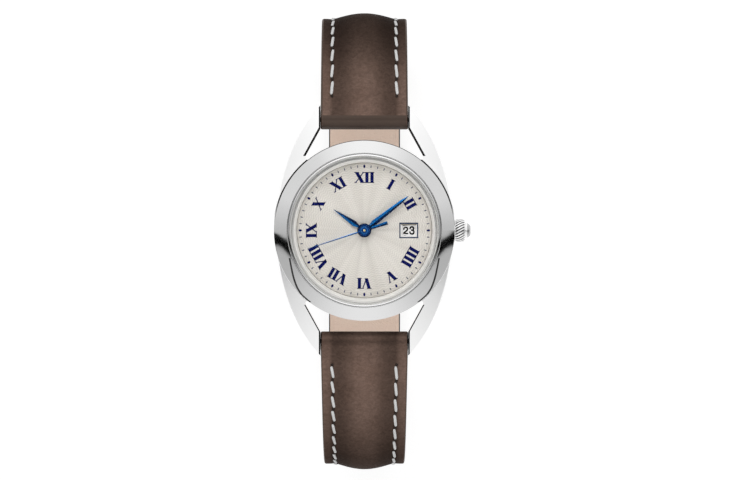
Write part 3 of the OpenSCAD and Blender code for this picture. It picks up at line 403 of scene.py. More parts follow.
def silveredDial(s):
    # stamped ray pattern under silvering: wavy rings cross soft sunrays
    material, tree, shader, place = newMaterial("silveredDial", "#e9e4dc", {"Metallic": 0.35})
    radius, angle = polar(tree, place)
    sway = addNode(tree, "Math MULTIPLY", [angle, s["waveCount"]])
    swing = addNode(tree, "Math SINE", [sway])
    bent = addNode(tree, "Math MULTIPLY_ADD", [swing, s["waveHeight"], radius])
    turn = addNode(tree, "Math MULTIPLY", [bent, 2 * math.pi / s["ringPitch"]])
    waves = addNode(tree, "Math SINE", [turn])
    flat = addNode(tree, "VectorMath MULTIPLY", [place, (1, 1, 0)])
    outward = addNode(tree, "VectorMath NORMALIZE", [flat])
    fan = addNode(tree, "TexNoise", {"Vector": outward, "Scale": 3.2, "Detail": 4.0, "Roughness": 0.6})
    rays = mixColours(tree, fan, "#cec8bf", "#fbf7f0")
    shade = addNode(tree, "MapRange", [waves, -1.0, 1, 0.87, 1.0])
    feed(tree, shader, {"Base Color": mixColours(tree, 1.0, rays, shade, "MULTIPLY")})
    varyRoughness(tree, shader, fan, 0.36, 0.52)
    addBump(tree, shader, waves, s["depth"])
    return material


def satinFlange():
    # satin silver ring under the crystal, painted darker on its 12 o'clock side as shade from the bezel, with a painted
    # shadow line at its foot
    material, tree, shader, place = newMaterial("satinFlange", "#dcd8d0", {"Metallic": 0.2, "Roughness": 0.5})
    radius = polar(tree, place)[0]
    y = addNode(tree, "SeparateXYZ", [place]).outputs[1]
    lit = addNode(tree, "MapRange", [y, 0.002, -0.012])
    outer = mixColours(tree, within(tree, radius, 11.75, 13), "#fffefa", mixColours(tree, lit, "#aeadab", "#eceae6"))
    varyColour(tree, shader, within(tree, radius, 11, 11.24), outer, "#8f8a82")
    addBump(tree, shader, addGrain(tree, place, 0.3), 0.002)
    return material


def polishedLip():
    # polished ring round the crystal, painted greyer at 3 and 9 o'clock as a darker reflection, with a painted shadow
    # line at its outer edge
    material, tree, shader, place = newMaterial("polishedLipSteel", "#e8e8e8", {"Metallic": 1.0, "Roughness": 0.07})
    y = addNode(tree, "SeparateXYZ", [place]).outputs[1]
    away = addNode(tree, "Math ABSOLUTE", [y])
    lit = addNode(tree, "MapRange", [away, 0.004, 0.01])
    step = within(tree, polar(tree, place)[0], 12.65, 12.8)
    varyColour(tree, shader, step, mixColours(tree, lit, "#bcbcbc", "#eeeeee"), "#3e3e3f")
    return material


# Leathers
leatherSettings = {"poreMm": 0.3, "creaseMm": 2.0, "poreDepth": 0.08, "creaseDepth": 0.1}
# painted highlight and shade on the strap: tone over the distance from the middle line, 0 to 7.5 mm, and along the
# watch, -40 to 40 mm
paintedSheenAcross = ((0.0, 1.0), (0.2, 0.92), (0.42, 0.6), (0.55, 0.5), (0.7, 0.5), (0.78, 0.85), (0.9, 0.95), (1.0, 0.8))
paintedSheenAlong = ((0.0, 0.26), (0.03, 0.34), (0.075, 0.62), (0.125, 0.77), (0.2, 0.83), (0.25, 0.82), (0.26, 0.76),
                (0.269, 0.5), (0.277, 0.76), (0.286, 0.45), (0.295, 0.5), (0.3, 0.8), (0.7, 1.0), (0.732, 1.0),
                (0.735, 0.88), (0.8, 0.82), (0.84, 0.66), (0.865, 0.48), (0.89, 0.35), (0.92, 0.25), (0.96, 0.16))


def burnishTone(tree, place):
    folded = addNode(tree, "VectorMath ABSOLUTE", [place])
    part = addNode(tree, "SeparateXYZ", [folded]).outputs
    y = addNode(tree, "SeparateXYZ", [place]).outputs[1]
    across = addNode(tree, "MapRange", [part[0], 0, 7.5 * mm])
    along = addNode(tree, "MapRange", [y, -40 * mm, 40 * mm])
    # wrinkles of the grain are a little darker and lighter too
    grain = addGrain(tree, place, (0.55, 0.4, 0.55), Detail=3.0, Distortion=0.8)
    mottle = addNode(tree, "MapRange", [grain, 0.3, 0.7, 0.8, 1.16])
    # painted shadow, near black, on the strap's edge where it enters between the arms
    slitShadow = addNode(tree, "Math MULTIPLY", [within(tree, part[0], 7.08 * mm, 8 * mm),
                                            within(tree, part[1], 16 * mm, 20.8 * mm)])
    edge = addNode(tree, "MapRange", [slitShadow, 0, 1, 1.0, 0.06])
    tone = addRamp(tree, across, paintedSheenAcross)
    for other in (addRamp(tree, along, paintedSheenAlong), mottle, edge):
        tone = addNode(tree, "Math MULTIPLY", [tone, other])
    return tone


def calfLeather(name, dark, light, s, rough=0.42, sheenPainted=False):
    # smooth vegetable calf, aniline finish: fine pores, soft creases; where asked, its satin sheen and shade are
    # painted into the colour
    material, tree, shader, place = newMaterial(name, dark, {"Specular IOR Level": 0.003})
    cloud = addGrain(tree, place, 3.5, Detail=4.0)
    colour = mixColours(tree, cloud, dark, light)
    if sheenPainted:
        # painted highlight and shade multiplied into the colour
        colour = mixColours(tree, 1.0, colour, burnishTone(tree, place), "MULTIPLY")
    feed(tree, shader, {"Base Color": colour})
    varyRoughness(tree, shader, cloud, rough - 0.05, rough + 0.1)
    pores = addNode(tree, "TexVoronoi", {"Vector": scaled(tree, place, s["poreMm"]), "Scale": 1.0,
                                         "Randomness": 0.9})
    crease = addGrain(tree, place, (s["creaseMm"], s["creaseMm"] * 0.5, s["creaseMm"]), Detail=6.0, Roughness=0.6,
                      Distortion=0.6)
    first = addNode(tree, "Bump", {"Height": crease, "Strength": 0.8, "Distance": s["creaseDepth"] * mm})
    feed(tree, addBump(tree, shader, pores, s["poreDepth"], 0.7), {"Normal": first})
    return material


caseSteel = polishedSteel("polishedCaseSteel")
crownSteel = polishedSteel("polishedCrownSteel", "#f0f0f0", 0.08, 0.14)
# painted shade for the crown's grooves, and a painted darker reflection for the band round its dome
fluteShade = groundSteel("fluteShadeSteel", "#565657", 0.1, 0.4)
domeReflectionSteel = polishedSteel("paintedDomeReflection", "#bababa", 0.1, 0.16)
buckleSteel = polishedSteel("polishedBuckleSteel")
springSteel = groundSteel("groundSpringSteel", "#a9a9ab", 0.08, 0.3)
giltBrass = groundSteel("giltBrass", "#d9b45c", 0.15, 0.3)
batterySteel = groundSteel("batteryCanSteel", "#c0c0c0", 0.3, 0.22)
blackRubber = moulded("nitrileRubber", "#161616", "#232323", 0.6)
whiteAcetal = moulded("whiteAcetal", "#dedad0", "#eae7de", 0.4)
whitePrint = moulded("whitePrintedDisc", "#f6f6f4", "#fdfdfb", 0.5)
navyInk = lacquer("navyLacquer", "#040b4c", "#071460")
greyInk = lacquer("greyBlueLacquer", "#4a4f66", "#585d74")
frameInk = lacquer("frameLacquer", "#22304c", "#2c3d5e")
# painted shade for the shaded side of the date window's border
recessShade = lacquer("windowShade", "#8d8980", "#99958c")
blackInk = lacquer("blackLacquer", "#020202", "#080808")
taupeCalf = calfLeather("taupeCalf", "#7e665a", "#967d71", leatherSettings, sheenPainted=True)
keeperCalf = calfLeather("keeperCalf", "#4e3d34", "#5c4a40", leatherSettings)
liningCalf = calfLeather("naturalLining", "#f1d6c3", "#fbe5d5", leatherSettings, 0.7)
edgePaint = moulded("edgePaint", "#43342b", "#4e3e34", 0.6)
# painted shade for the stitch holes and the lining's edges
holeShade = moulded("paintedHoleShade", "#241a15", "#2c211b", 0.8)

# material of each group of solids that stay as they are
finishes = (
    (caseArmSteel(), "mid_case"), (turnedBezel(), "bezel"), (mineralGlass(), "crystal"),
    (moulded("whiteNylon", "#dededb", "#ebebe8", 0.3), "crystal_gasket"), (satinFlange(), "flange_ring"),
    (caseSteel, "case_back crown_tube"), (blackRubber, "case_back_gasket crown_gasket"),
    (moulded("ivoryAcetal", "#d8cfae", "#e3dbc0", 0.45), "movement_holder"), (silveredDial(dialSettings), "dial"),
    (bluedSteel("bluedHourSteel", (-0.564, -0.826)), "hour_hand"),
    (bluedSteel("bluedMinuteSteel", (-0.613, 0.79)), "minute_hand"),
    (bluedSteel("bluedSecondsSteel", (-0.309, 0.951)), "seconds_hand"),
    (giltBrass, "main_plate seconds_wheel third_wheel centre_wheel minute_wheel hour_wheel setting_wheel"),
    (groundSteel("nickelPlatedSteel", "#bdbab2", 0.2, 0.28), "train_bridge"), (batterySteel, "battery quartz_can"),
    (moulded("solderMaskGreen", "#1b5a36", "#2a7147", 0.35, 0.9), "circuit_board"),
    (moulded("epoxyBlack", "#121212", "#1c1c1c", 0.55), "chip"), (copperWinding(), "coil"),
    (groundSteel("sinteredMagnet", "#4a4a4d", 0.1, 0.5), "rotor"), (whiteAcetal, "intermediate_wheel date_wheel"),
    (glowingDisc(), "date_ring"), (buckleSteel, "buckle_frame buckle_tongue"),
    (springSteel, "stem clutch setting_lever yoke battery_clamp coil_core stator date_jumper date_plate "
                  "movement_screws spring_bar_tubes spring_bar_tips buckle_bar"),
)
for finish, names in finishes:
    for name in names.split():
        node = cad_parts[name]
        if not node.material_slots:
            node.data.materials.append(finish)
        for place in node.material_slots:
            place.material = finish
print("finishes done")


# Meshes: a shape is a pair of points in millimetres and faces, one object for each piece
def outwardMesh(name, shape):
    mesh = bpy.data.meshes.new(name)
    mesh.from_pydata([tuple(c * mm for c in p) for p in shape[0]], [], shape[1])
    work = bmesh.new()
    work.from_mesh(mesh)
    bmesh.ops.recalc_face_normals(work, faces=work.faces)
    work.to_mesh(mesh)
    work.free()
    return mesh


def finishPiece(piece, body, slot, replaced=()):
    if replaced:
        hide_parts(*replaced)
    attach(piece, body)
    return piece


def makePiece(name, shape, body, materials, slot, replaced=(), indexes=None, sharp=40):
    # sharp is the angle from which an edge stays hard, or None for flat faces
    mesh = outwardMesh(name, shape)
    for material in materials:
        mesh.materials.append(material)
    if indexes:
        mesh.polygons.foreach_set("material_index", indexes)
    if sharp:
        mesh.polygons.foreach_set("use_smooth", [True] * len(mesh.polygons))
        mesh.set_sharp_from_angle(angle=math.radians(sharp))
    piece = bpy.data.objects.new(name, mesh)
    scene.collection.objects.link(piece)
    return finishPiece(piece, body, slot, replaced)


def applyModifiers(piece):
    piece.update_tag()
    graph = bpy.context.evaluated_depsgraph_get()
    graph.update()
    mesh = bpy.data.meshes.new_from_object(piece.evaluated_get(graph))
    piece.modifiers.clear()
    piece.data = mesh


def joinRings(rings, shape=None, closed=False):
    # adds a skin through rings that have as many points each, with both ends closed
    points, faces = shape = shape or ([], [])
    start, n = len(points), len(rings[0])
    for ring in rings:
        points.extend(ring)
    last = len(rings) if closed else len(rings) - 1
    for k in range(last):
        a, b = start + k * n, start + ((k + 1) % len(rings)) * n
        for i in range(n):
            j = (i + 1) % n
            faces.append((a + i, a + j, b + j, b + i))
    if not closed:
        faces.append(tuple(range(start, start + n)))
        faces.append(tuple(range(start + (len(rings) - 1) * n, start + len(rings) * n)))
    return shape


def prism(shape, outline, z0, z1):
    points, faces = shape
    start, n = len(points), len(outline)
    points.extend([(x, y, z0) for x, y in outline] + [(x, y, z1) for x, y in outline])
    faces.append(tuple(start + n + i for i in range(n)))
    faces.append(tuple(start + n - 1 - i for i in range(n)))
    for i in range(n):
        j = (i + 1) % n
        faces.append((start + i, start + j, start + n + j, start + n + i))


def turned(x, y, angle):
    return (x * math.cos(angle) - y * math.sin(angle), x * math.sin(angle) + y * math.cos(angle))


# Crown: slanted flutes with narrow grooves in painted shade, a groove and a small polished dome with a band of painted
# reflection
crownSettings = {"start": 15.1, "height": 49.2, "radius": 1.95, "barrel": 1.55, "ribs": 24, "slant": 30,
                 "depth": 0.2, "domeRadius": 1.26, "dome": 1.13, "recess": 1.1, "recessRadius": 1.3}


def makeCrown(s):
    perRib, columns, end = 12, 12 * s["ribs"], s["barrel"]
    twist = math.tan(math.radians(s["slant"])) / s["radius"]
    # each row has its place along the crown, its radius and the depth of the grooves
    rows = [(s["recess"], 0.02, 0), (s["recess"], s["recessRadius"], 0), (0, s["recessRadius"], 0), (0, 1.55, 0)]
    for k in range(15):
        x = end * k / 14
        edge = abs(x / end * 2 - 1)
        rows.append((x, s["radius"] - 0.12 * edge ** 2 - 0.08 * max(0, edge - 0.8) / 0.2, s["depth"]))
    rows += [(end, 1.45, 0), (end - 0.03, 1.12, 0), (end + 0.08, 1.1, 0), (end + 0.1, s["domeRadius"] - 0.04, 0)]
    for k in range(17):
        a = math.radians(90 * k / 16)
        rows.append((end + 0.16 + (s["dome"] - 0.16) * math.sin(a), s["domeRadius"] * math.cos(a) ** 0.9 + 0.004, 0))
    rings = []
    for x, r, depth in rows:
        ring = []
        for i in range(columns):
            rr = r - depth * (0.5 - 0.5 * math.cos(2 * math.pi * i / perRib)) ** 5
            a = 2 * math.pi * i / columns - twist * x * (1 if depth else 0)
            ring.append((s["start"] + x, rr * math.cos(a), s["height"] + rr * math.sin(a)))
        rings.append(ring)
    shape = joinRings(rings)
    # the grooves are painted in shade, and a band round the dome takes a painted darker reflection
    finish = []
    for f in shape[1]:
        row, column = divmod(f[0], columns)
        groove = len(f) == 4 and 4 <= row < 18 and 4 <= column % perRib < 8
        finish.append(1 if groove else 2 if 26 <= row < 33 else 0)
    makePiece("flutedCrown", shape, "winder", [crownSteel, fluteShade, domeReflectionSteel], "crown_steel", ["crown"],
              finish, 35)


makeCrown(crownSettings)


# Polished lip on the gasket: radius and height of its section in millimetres
lipSection = ((12.36, 53.4), (12.37, 53.6), (12.42, 53.64), (12.68, 53.58), (12.73, 53.54), (12.74, 53.4))


def makeLip(section, parts=180):
    rings = []
    for i in range(parts):
        a = 2 * math.pi * i / parts
        rings.append([(r * math.cos(a), r * math.sin(a), z) for r, z in section])
    makePiece("crystalLip", joinRings(rings, closed=True), "case", [polishedLip()], "case_steel", sharp=50)


makeLip(lipSection)
print("crown and lip done")


# Geometry Nodes trees: named inputs, then Realize Instances and Set Material
def newTree(name, **inputs):
    # in the names of the inputs, an underscore stands for a space
    tree = bpy.data.node_groups.new(name, "GeometryNodeTree")
    for label, kind in inputs.items():
        tree.interface.new_socket(name=label.replace("_", " "), in_out="INPUT", socket_type="NodeSocket" + kind)
    tree.interface.new_socket(name="Geometry", in_out="OUTPUT", socket_type="NodeSocketGeometry")
    return tree, addNode(tree, "NodeGroupInput").outputs


def runTree(name, tree, values, base=None):
    holder = bpy.data.objects.new(name, base or bpy.data.meshes.new(name))
    scene.collection.objects.link(holder)
    modifier = holder.modifiers.new(name, "NODES")
    modifier.node_group = tree
    for item in tree.interface.items_tree:
        if item.in_out == "INPUT" and item.name in values:
            modifier[item.identifier] = values[item.name]
    applyModifiers(holder)
    return holder


def markRingTree():
    tree, given = newTree("markRing", Count="Int", Radius="Float", Height="Float", Length="Float", Width="Float",
                          Thickness="Float", Hour_Marks="Bool", Ink="Material")
    index = addNode(tree, "GeometryNodeInputIndex")
    step = addNode(tree, "Math DIVIDE", [2 * math.pi, given["Count"]])
    angle = addNode(tree, "Math MULTIPLY", [index, step])
    x, y = [addNode(tree, "Math MULTIPLY", [addNode(tree, "Math " + wave, [angle]), given["Radius"]])
            for wave in ("COSINE", "SINE")]
    place = addNode(tree, "CombineXYZ", [x, y, given["Height"]])
    points = addNode(tree, "GeometryNodePoints", {"Count": given["Count"], "Position": place})
    rest = addNode(tree, "Math MODULO", [index, 5.0])
    fifth = addNode(tree, "FunctionNodeCompare LESS_THAN", [rest, 0.5])
    chosen = addNode(tree, "FunctionNodeBooleanMath XNOR", [fifth, given["Hour Marks"]])
    mark = addNode(tree, "GeometryNodeMeshCylinder", {"Vertices": 14, "Radius": 0.5, "Depth": 1.0})
    size = addNode(tree, "CombineXYZ", [given["Length"], given["Width"], given["Thickness"]])
    placed = addNode(tree, "GeometryNodeInstanceOnPoints", {
        "Points": points, "Selection": chosen, "Instance": mark, "Rotation": addNode(tree, "CombineXYZ", {2: angle}),
        "Scale": size})
    real = addNode(tree, "GeometryNodeRealizeInstances", [placed])
    inked = addNode(tree, "GeometryNodeSetMaterial", {0: real, "Material": given["Ink"]})
    addNode(tree, "NodeGroupOutput", [inked])
    return tree


dialTop = 50.9                    # 46.5 for the back and 4.4 for the dial
trackSettings = {"radius": 10.6, "pipLength": 0.58, "pipWidth": 0.36, "dashLength": 0.48, "dashWidth": 0.16,
                 "thickness": 0.03, "above": 0.008}


def makeMinuteTrack(s):
    tree = markRingTree()
    for name, hours, length, width, ink in (("hourPips", True, s["pipLength"], s["pipWidth"], navyInk),
                                            ("minuteDashes", False, s["dashLength"], s["dashWidth"], greyInk)):
        ring = runTree(name, tree, {"Count": 60, "Radius": s["radius"] * mm, "Height": (dialTop + s["above"]) * mm,
                                    "Length": length * mm, "Width": width * mm, "Thickness": s["thickness"] * mm,
                                    "Hour Marks": hours, "Ink": ink})
        finishPiece(ring, "case", "blued_steel")


makeMinuteTrack(trackSettings)


# Roman numerals: thick and hair strokes between two thin lines, feet to the middle of the dial
numeralSettings = {"inner": 7.86, "outer": 9.66, "thick": 0.53, "hair": 0.16, "gap": 0.31, "serif": 0.12,
                   "over": 0.13, "raised": 0.02, "wideV": 1.42, "wideX": 1.5}
numeralWords = {1: "I", 2: "II", 4: "IIII", 5: "V", 6: "VI", 7: "VII", 8: "VIII", 9: "IX", 10: "X", 11: "XI", 12: "XII"}


def letterStrokes(letter, s):
    # strokes as (foot x, head x, width) with the letter's own width
    t, h, v, x = s["thick"], s["hair"], s["wideV"], s["wideX"]
    if letter == "I":
        return [(t / 2, t / 2, t)], t
    if letter == "V":
        return [(v / 2 + 0.05, t / 2, t), (v / 2 - 0.02, v - h / 2, h)], v
    return [(x - t / 2, t / 2, t), (h / 2 + 0.03, x - h / 2 - 0.03, h)], x


def makeNumerals(s):
    shape = [], []
    z0, z1 = dialTop - 0.01, dialTop + s["raised"]
    for hour, word in numeralWords.items():
        strokes, at = [], 0
        for letter in word:
            parts, w = letterStrokes(letter, s)
            # beside a leaning hair stroke the letters stand closer
            if at and (letter != "I" or strokes[-1][2] == s["hair"]):
                at -= s["gap"] * 0.35
            strokes += [(at + a, at + b, c) for a, b, c in parts]
            at += w + s["gap"]
        total = at - s["gap"]

        def quad(corners):
            prism(shape, [turned(u - total / 2, v, math.radians(-30 * hour)) for u, v in corners], z0, z1)

        low, high = s["inner"] + s["serif"] / 2, s["outer"] - s["serif"] / 2
        for foot, head, w in strokes:
            lean = math.hypot(1, (head - foot) / (high - low)) * w / 2
            quad([(foot - lean, low), (foot + lean, low), (head + lean, high), (head - lean, high)])
        for v0, v1, row in ((s["inner"], s["inner"] + s["serif"], 0), (s["outer"] - s["serif"], s["outer"], 1)):
            merged = []
            for stroke in sorted(strokes, key=lambda stroke: stroke[row] - stroke[2] / 2):
                # the point of a V has no serif
                if row == 0 and "V" in word and stroke[0] != stroke[1]:
                    continue
                half = stroke[2] / 2 + s["over"]
                if merged and stroke[row] - half <= merged[-1][1] + 0.16:
                    merged[-1][1] = max(stroke[row] + half, merged[-1][1])
                else:
                    merged.append([stroke[row] - half, stroke[row] + half])
            for a, b in merged:
                quad([(a, v0), (b, v0), (b, v1), (a, v1)])
    makePiece("romanNumerals", shape, "case", [navyInk], "blued_steel", sharp=None)


makeNumerals(numeralSettings)


# Date: frame round the window and the days on the ring, 23 in the window
dateSettings = {"x": 7.35, "windowW": 2.34, "windowH": 1.64, "frameW": 3.11, "frameH": 2.56, "line": 0.19, "top": 50.25,
                "digitH": 1.07, "digitW": 0.7, "space": 0.33, "stroke": 0.26, "shown": 23}
# lines of each digit, in hundredths of its width and height
digitLines = {
    "0": "50 100 20 94 4 70 0 50 4 30 20 6 50 0 80 6 96 30 100 50 96 70 80 94 50 100",
    "1": "20 78 42 85 56 100 56 0",
    "2": "5 70 10 87 28 98 50 100 74 97 92 83 92 66 80 50 50 32 20 15 4 0 97 0",
    "3": "6 78 14 92 32 100 52 100 76 95 88 80 85 64 68 55 42 53 72 51 92 40 96 25 88 9 70 1 48 0 24 2 8 12 2 26",
    "4": "72 0 72 100 0 30 100 30",
    "5": "88 100 22 100 10 50 32 62 60 63 86 52 96 32 86 10 60 0 30 0 4 16",
    "6": "90 80 76 96 50 100 22 90 5 62 3 32 16 8 46 0 78 6 95 28 86 52 58 62 26 56 6 40",
    "7": "0 100 96 100 62 55 42 22 36 0",
    "8": "50 54 20 62 10 78 22 95 50 100 78 95 90 78 80 62 50 54 16 44 3 25 18 5 50 0 82 5 97 25 84 44 50 54",
    "9": "94 60 74 44 42 38 14 48 5 72 22 94 54 100 84 92 97 68 95 38 78 10 50 0 24 4 10 20",
}


def strokeRuns(line, corner=60):
    # the line is cut wherever it turns by more than the corner angle
    runs = [[Vector(line[0])]]
    for i in range(1, len(line)):
        here = Vector(line[i])
        runs[-1].append(here)
        if i < len(line) - 1:
            after = Vector(line[i + 1]) - here
            if (here - Vector(line[i - 1])).angle(after) > math.radians(corner):
                runs.append([here])
    return runs


def roundedLine(knots, parts=3):
    # a smooth curve through the points
    n, result = len(knots), []
    if n == 2:
        return [tuple(p) for p in knots]
    for i in range(n - 1):
        a, b = knots[i], knots[i + 1]
        ta = ((b - knots[i - 1]) if i else (b - a)).normalized() * (b - a).length
        tb = ((knots[i + 2] - a) if i < n - 2 else (b - a)).normalized() * (b - a).length
        for k in range(parts):
            u = k / parts
            result.append(a * (2 * u ** 3 - 3 * u ** 2 + 1) + ta * (u ** 3 - 2 * u ** 2 + u)
                          + b * (3 * u ** 2 - 2 * u ** 3) + tb * (u ** 3 - u ** 2))
    return [tuple(p) for p in result + [knots[-1]]]


def strokeRibbon(shape, line, width, turn, z0, z1):
    # a flat band of even width along a line, with mitred corners and a little longer at both ends
    n, left, right = len(line), [], []
    for i, (x, y) in enumerate(line):
        here = Vector((x, y))
        a, b = Vector(line[max(i - 1, 0)]), Vector(line[min(i + 1, n - 1)])
        d1 = (here - a).normalized() if i else (b - here).normalized()
        d2 = (b - here).normalized() if i < n - 1 else d1
        side = Vector((-(d1 + d2).y, (d1 + d2).x))
        side = side.normalized() if side.length > 0.4 else Vector((-d1.y, d1.x))
        reach = width / 2 / max(0.55, side.dot(Vector((-d1.y, d1.x))))
        tip = -d1 * width * 0.4 if i == 0 else d2 * width * 0.4 if i == n - 1 else Vector((0, 0))
        left.append(here + side * reach + tip)
        right.append(here - side * reach + tip)
    for i in range(n - 1):
        prism(shape, [turn(right[i]), turn(right[i + 1]), turn(left[i + 1]), turn(left[i])], z0, z1)


def makeDays(s):
    shape = [], []
    for day in range(1, 32):
        digits = str(day)
        wide = len(digits) * s["digitW"] + (len(digits) - 1) * s["space"]

        def turn(p):
            # digits narrow towards the middle of the disc, so that the next day stays out of the window
            return turned(p[0] + s["x"], p[1] * (1 + p[0] / s["x"]), math.radians((s["shown"] - day) * 360 / 31))

        for k, digit in enumerate(digits):
            x0 = -wide / 2 + k * (s["digitW"] + s["space"])
            values = [int(v) / 100 for v in digitLines[digit].split()]
            line = [(x0 + u * s["digitW"], (v - 0.5) * s["digitH"]) for u, v in zip(values[::2], values[1::2])]
            for run in strokeRuns(line):
                strokeRibbon(shape, roundedLine(run), s["stroke"], turn, s["top"] - 0.01, s["top"] + 0.012)
    makePiece("printedDays", shape, "date", [blackInk], "blued_steel", sharp=None)


def makeDateFrame(s):
    outer, middle, inner = [[(s["x"] + u * w / 2, v * h / 2) for u, v in ((-1, -1), (1, -1), (1, 1), (-1, 1))]
                            for w, h in ((s["frameW"], s["frameH"]),
                                         (s["frameW"] - 2 * s["line"], s["frameH"] - 2 * s["line"]),
                                         (s["windowW"], s["windowH"]))]
    # of the border, the side at 12 o'clock is painted in shade
    for name, wide, narrow, height, inks, slot, shadedSide in (
            ("dateFrameLine", outer, middle, 0.04, [frameInk], "blued_steel", None),
            ("dateFrameBorder", middle, inner, 0.02, [whitePrint, recessShade], "white_date_ring", 2)):
        shape = [], []
        for i in range(4):
            j = (i + 1) % 4
            prism(shape, [wide[i], wide[j], narrow[j], narrow[i]], dialTop - 0.01, dialTop + height)
        # each side is a prism of six faces
        indexes = [int(k // 6 == shadedSide) for k in range(len(shape[1]))]
        makePiece(name, shape, "case", inks, slot, indexes=indexes, sharp=None)


makeDays(dateSettings)
makeDateFrame(dateSettings)
print("dial print done")


# Strap: the same path as the solids, in millimetres
strap = {"barY": 18.4, "barZ": 48.1, "slope": math.radians(12), "lowBend": 20, "half": 1.1, "lining": 1.0, "pad": 0.93,
         "stitchIn": 1.85, "caseWidth": 14.54, "backWidth": 12.0, "taperEnd": 42, "rootFlat": 3, "padRise": 3,
         "padFade": 7, "roll": 1.62, "rollHalf": 7.28, "firstHole": 3.8, "tip": 9, "buckleY": 11.9, "tipY": 2.6,
         "fork": 1.6, "liningStart": 2, "ringStep": 0.42, "liningStep": 0.5}
half12 = {"run": 6.5, "bend": 12, "sign": 1, "wide": (28, 14), "padEnd": 34, "pitches": (2.78, 2.78), "slants": (-6, 6)}
half6 = {"run": 8.6, "bend": 14, "sign": -1, "wide": (30, 13.2), "padEnd": 38, "pitches": (2.5, 2.78),
         "slants": (10, 7)}


def pathKnots(h):
    # lengths at which the straight run, the upper bend, the drop and the bottom bend end
    s, slope = strap, strap["slope"]
    a = h["run"]
    b = a + h["bend"] * (math.pi / 2 - slope)
    c = b + s["barZ"] - a * math.sin(slope) - h["bend"] * math.cos(slope) - s["lowBend"] - s["half"]
    return a, b, c, c + s["lowBend"] * math.pi / 2


def lowY(h):
    # y at which the bottom bend ends
    slope = strap["slope"]
    return strap["barY"] + h["run"] * math.cos(slope) + h["bend"] * (1 - math.sin(slope)) - strap["lowBend"]


def linePoint(t, h):
    # outward y, height and slope of the middle line at the length t from the spring bar
    a, b, c, d = pathKnots(h)
    s, slope, low, bend = strap, strap["slope"], strap["lowBend"], h["bend"]
    if t <= a:
        return s["barY"] + t * math.cos(slope), s["barZ"] - t * math.sin(slope), slope
    y1, z1 = s["barY"] + a * math.cos(slope), s["barZ"] - a * math.sin(slope)
    if t <= b:
        e = slope + (t - a) / bend
        return y1 + bend * (math.sin(e) - math.sin(slope)), z1 - bend * (math.cos(slope) - math.cos(e)), e
    y2, z2 = y1 + bend * (1 - math.sin(slope)), z1 - bend * math.cos(slope)
    if t <= c:
        return y2, z2 - (t - b), math.pi / 2
    if t <= d:
        e = math.pi / 2 + (t - c) / low
        return y2 - low * (1 - math.sin(e)), s["half"] + low * (1 + math.cos(e)), e
    return y2 - low - (t - d), s["half"], math.pi


def onStrap(t, x, up, h):
    y, z, e = linePoint(t, h)
    return (x, h["sign"] * (y + up * math.sin(e)), z + up * math.cos(e))


def ramp(t, a, b):
    return max(0.0, min(1.0, (t - a) / (b - a)))


def smoothRamp(t, a, b):
    u = ramp(t, a, b)
    return u * u * (3 - 2 * u)


def strapWidth(t, h, end=None):
    # with an end, the strap narrows to a round tip there
    at, w = h["wide"]
    if t < at:
        w = strap["caseWidth"] + (w - strap["caseWidth"]) * t / at
    else:
        w += (strap["backWidth"] - w) * ramp(t, at, strap["taperEnd"])
    if not end or t < end - strap["tip"]:
        return w
    k = (t - end + strap["tip"]) / strap["tip"]
    return max(1.4, w * math.sqrt(max(0.0, 1 - k * k)))


def rootTop(t):
    # top of the leather without its pad: high at the spring bar, with two creases behind it
    s = strap
    high = s["half"] + (s["roll"] - 0.05 - s["half"]) * (1 - smoothRamp(t, 0.4, s["rootFlat"]))
    return high - 0.07 * math.exp(-((t - 1.6) / 0.25) ** 2) - 0.05 * math.exp(-((t - 2.9) / 0.3) ** 2)


def halfSection(t, w, h, pitch):
    # one half of the leather's outline, from its lower edge to the middle
    s = strap
    inset = min(s["stitchIn"], 0.3 * w)
    pad = s["pad"] * smoothRamp(t, s["rootFlat"], s["rootFlat"] + s["padRise"]) * (
        1 - smoothRamp(t, h["padEnd"] - s["padFade"], h["padEnd"]))
    g, top, low = w / 2 - inset, rootTop(t), s["lining"] - s["half"]
    # the thread pulls the leather down, most of all at its holes
    pull = 0.5 + 0.5 * math.cos(2 * math.pi * (t - s["firstHole"]) / pitch)
    dip = ramp(t, s["firstHole"] - 0.6, s["firstHole"]) * (0.07 + 0.08 * pull) * min(1, inset / 1.2)
    edge = 0.3 * min(1, w / 4)
    out = [(w / 2, low), (w / 2, top - edge)]
    for a in (math.pi / 8, math.pi / 4, 3 * math.pi / 8, math.pi / 2):
        out.append((w / 2 - edge * (1 - math.cos(a)), top - edge * (1 - math.sin(a))))
    out += [(g + inset * 0.6, top), (g + inset * 0.38, top - 0.15 * dip), (g + inset * 0.2, top - 0.6 * dip),
            (g, top - dip), (g - 0.012 * w, top - 0.8 * dip + 0.01 * pad)]
    for u in (0.96, 0.93, 0.89, 0.84, 0.78, 0.7, 0.6, 0.48, 0.35, 0.2, 0.07):
        out.append((g * u, top - 0.3 * dip * u ** 12 + pad * (1 - u * u) ** 1.3))
    return out


def leatherRing(t, h, end=None):
    left, right = [halfSection(t, strapWidth(t, h, end), h, pitch) for pitch in h["pitches"]]
    outline = right + [(-x, up) for x, up in reversed(left)]
    return [onStrap(t, x, up, h) for x, up in outline]


def liningRing(t, h, end=None):
    w, low, high = strapWidth(t, h, end), -strap["half"], strap["lining"] - strap["half"]
    # a pressed line runs inside each rounded edge
    q = min(1, w / 4)
    half = [(w / 2 - x * q, low + up) for x, up in ((0.9, 0), (0.78, 0.05), (0.66, 0), (0.34, 0), (0.18, 0.03),
                                                    (0.05, 0.12), (0, 0.3))] + [(w / 2, high)]
    outline = half + [(-x, up) for x, up in reversed(half)]
    return [onStrap(t, x, up, h) for x, up in outline]


def steps(a, b, size):
    n = max(2, round((b - a) / size))
    return [a + (b - a) * i / n for i in range(n + 1)]


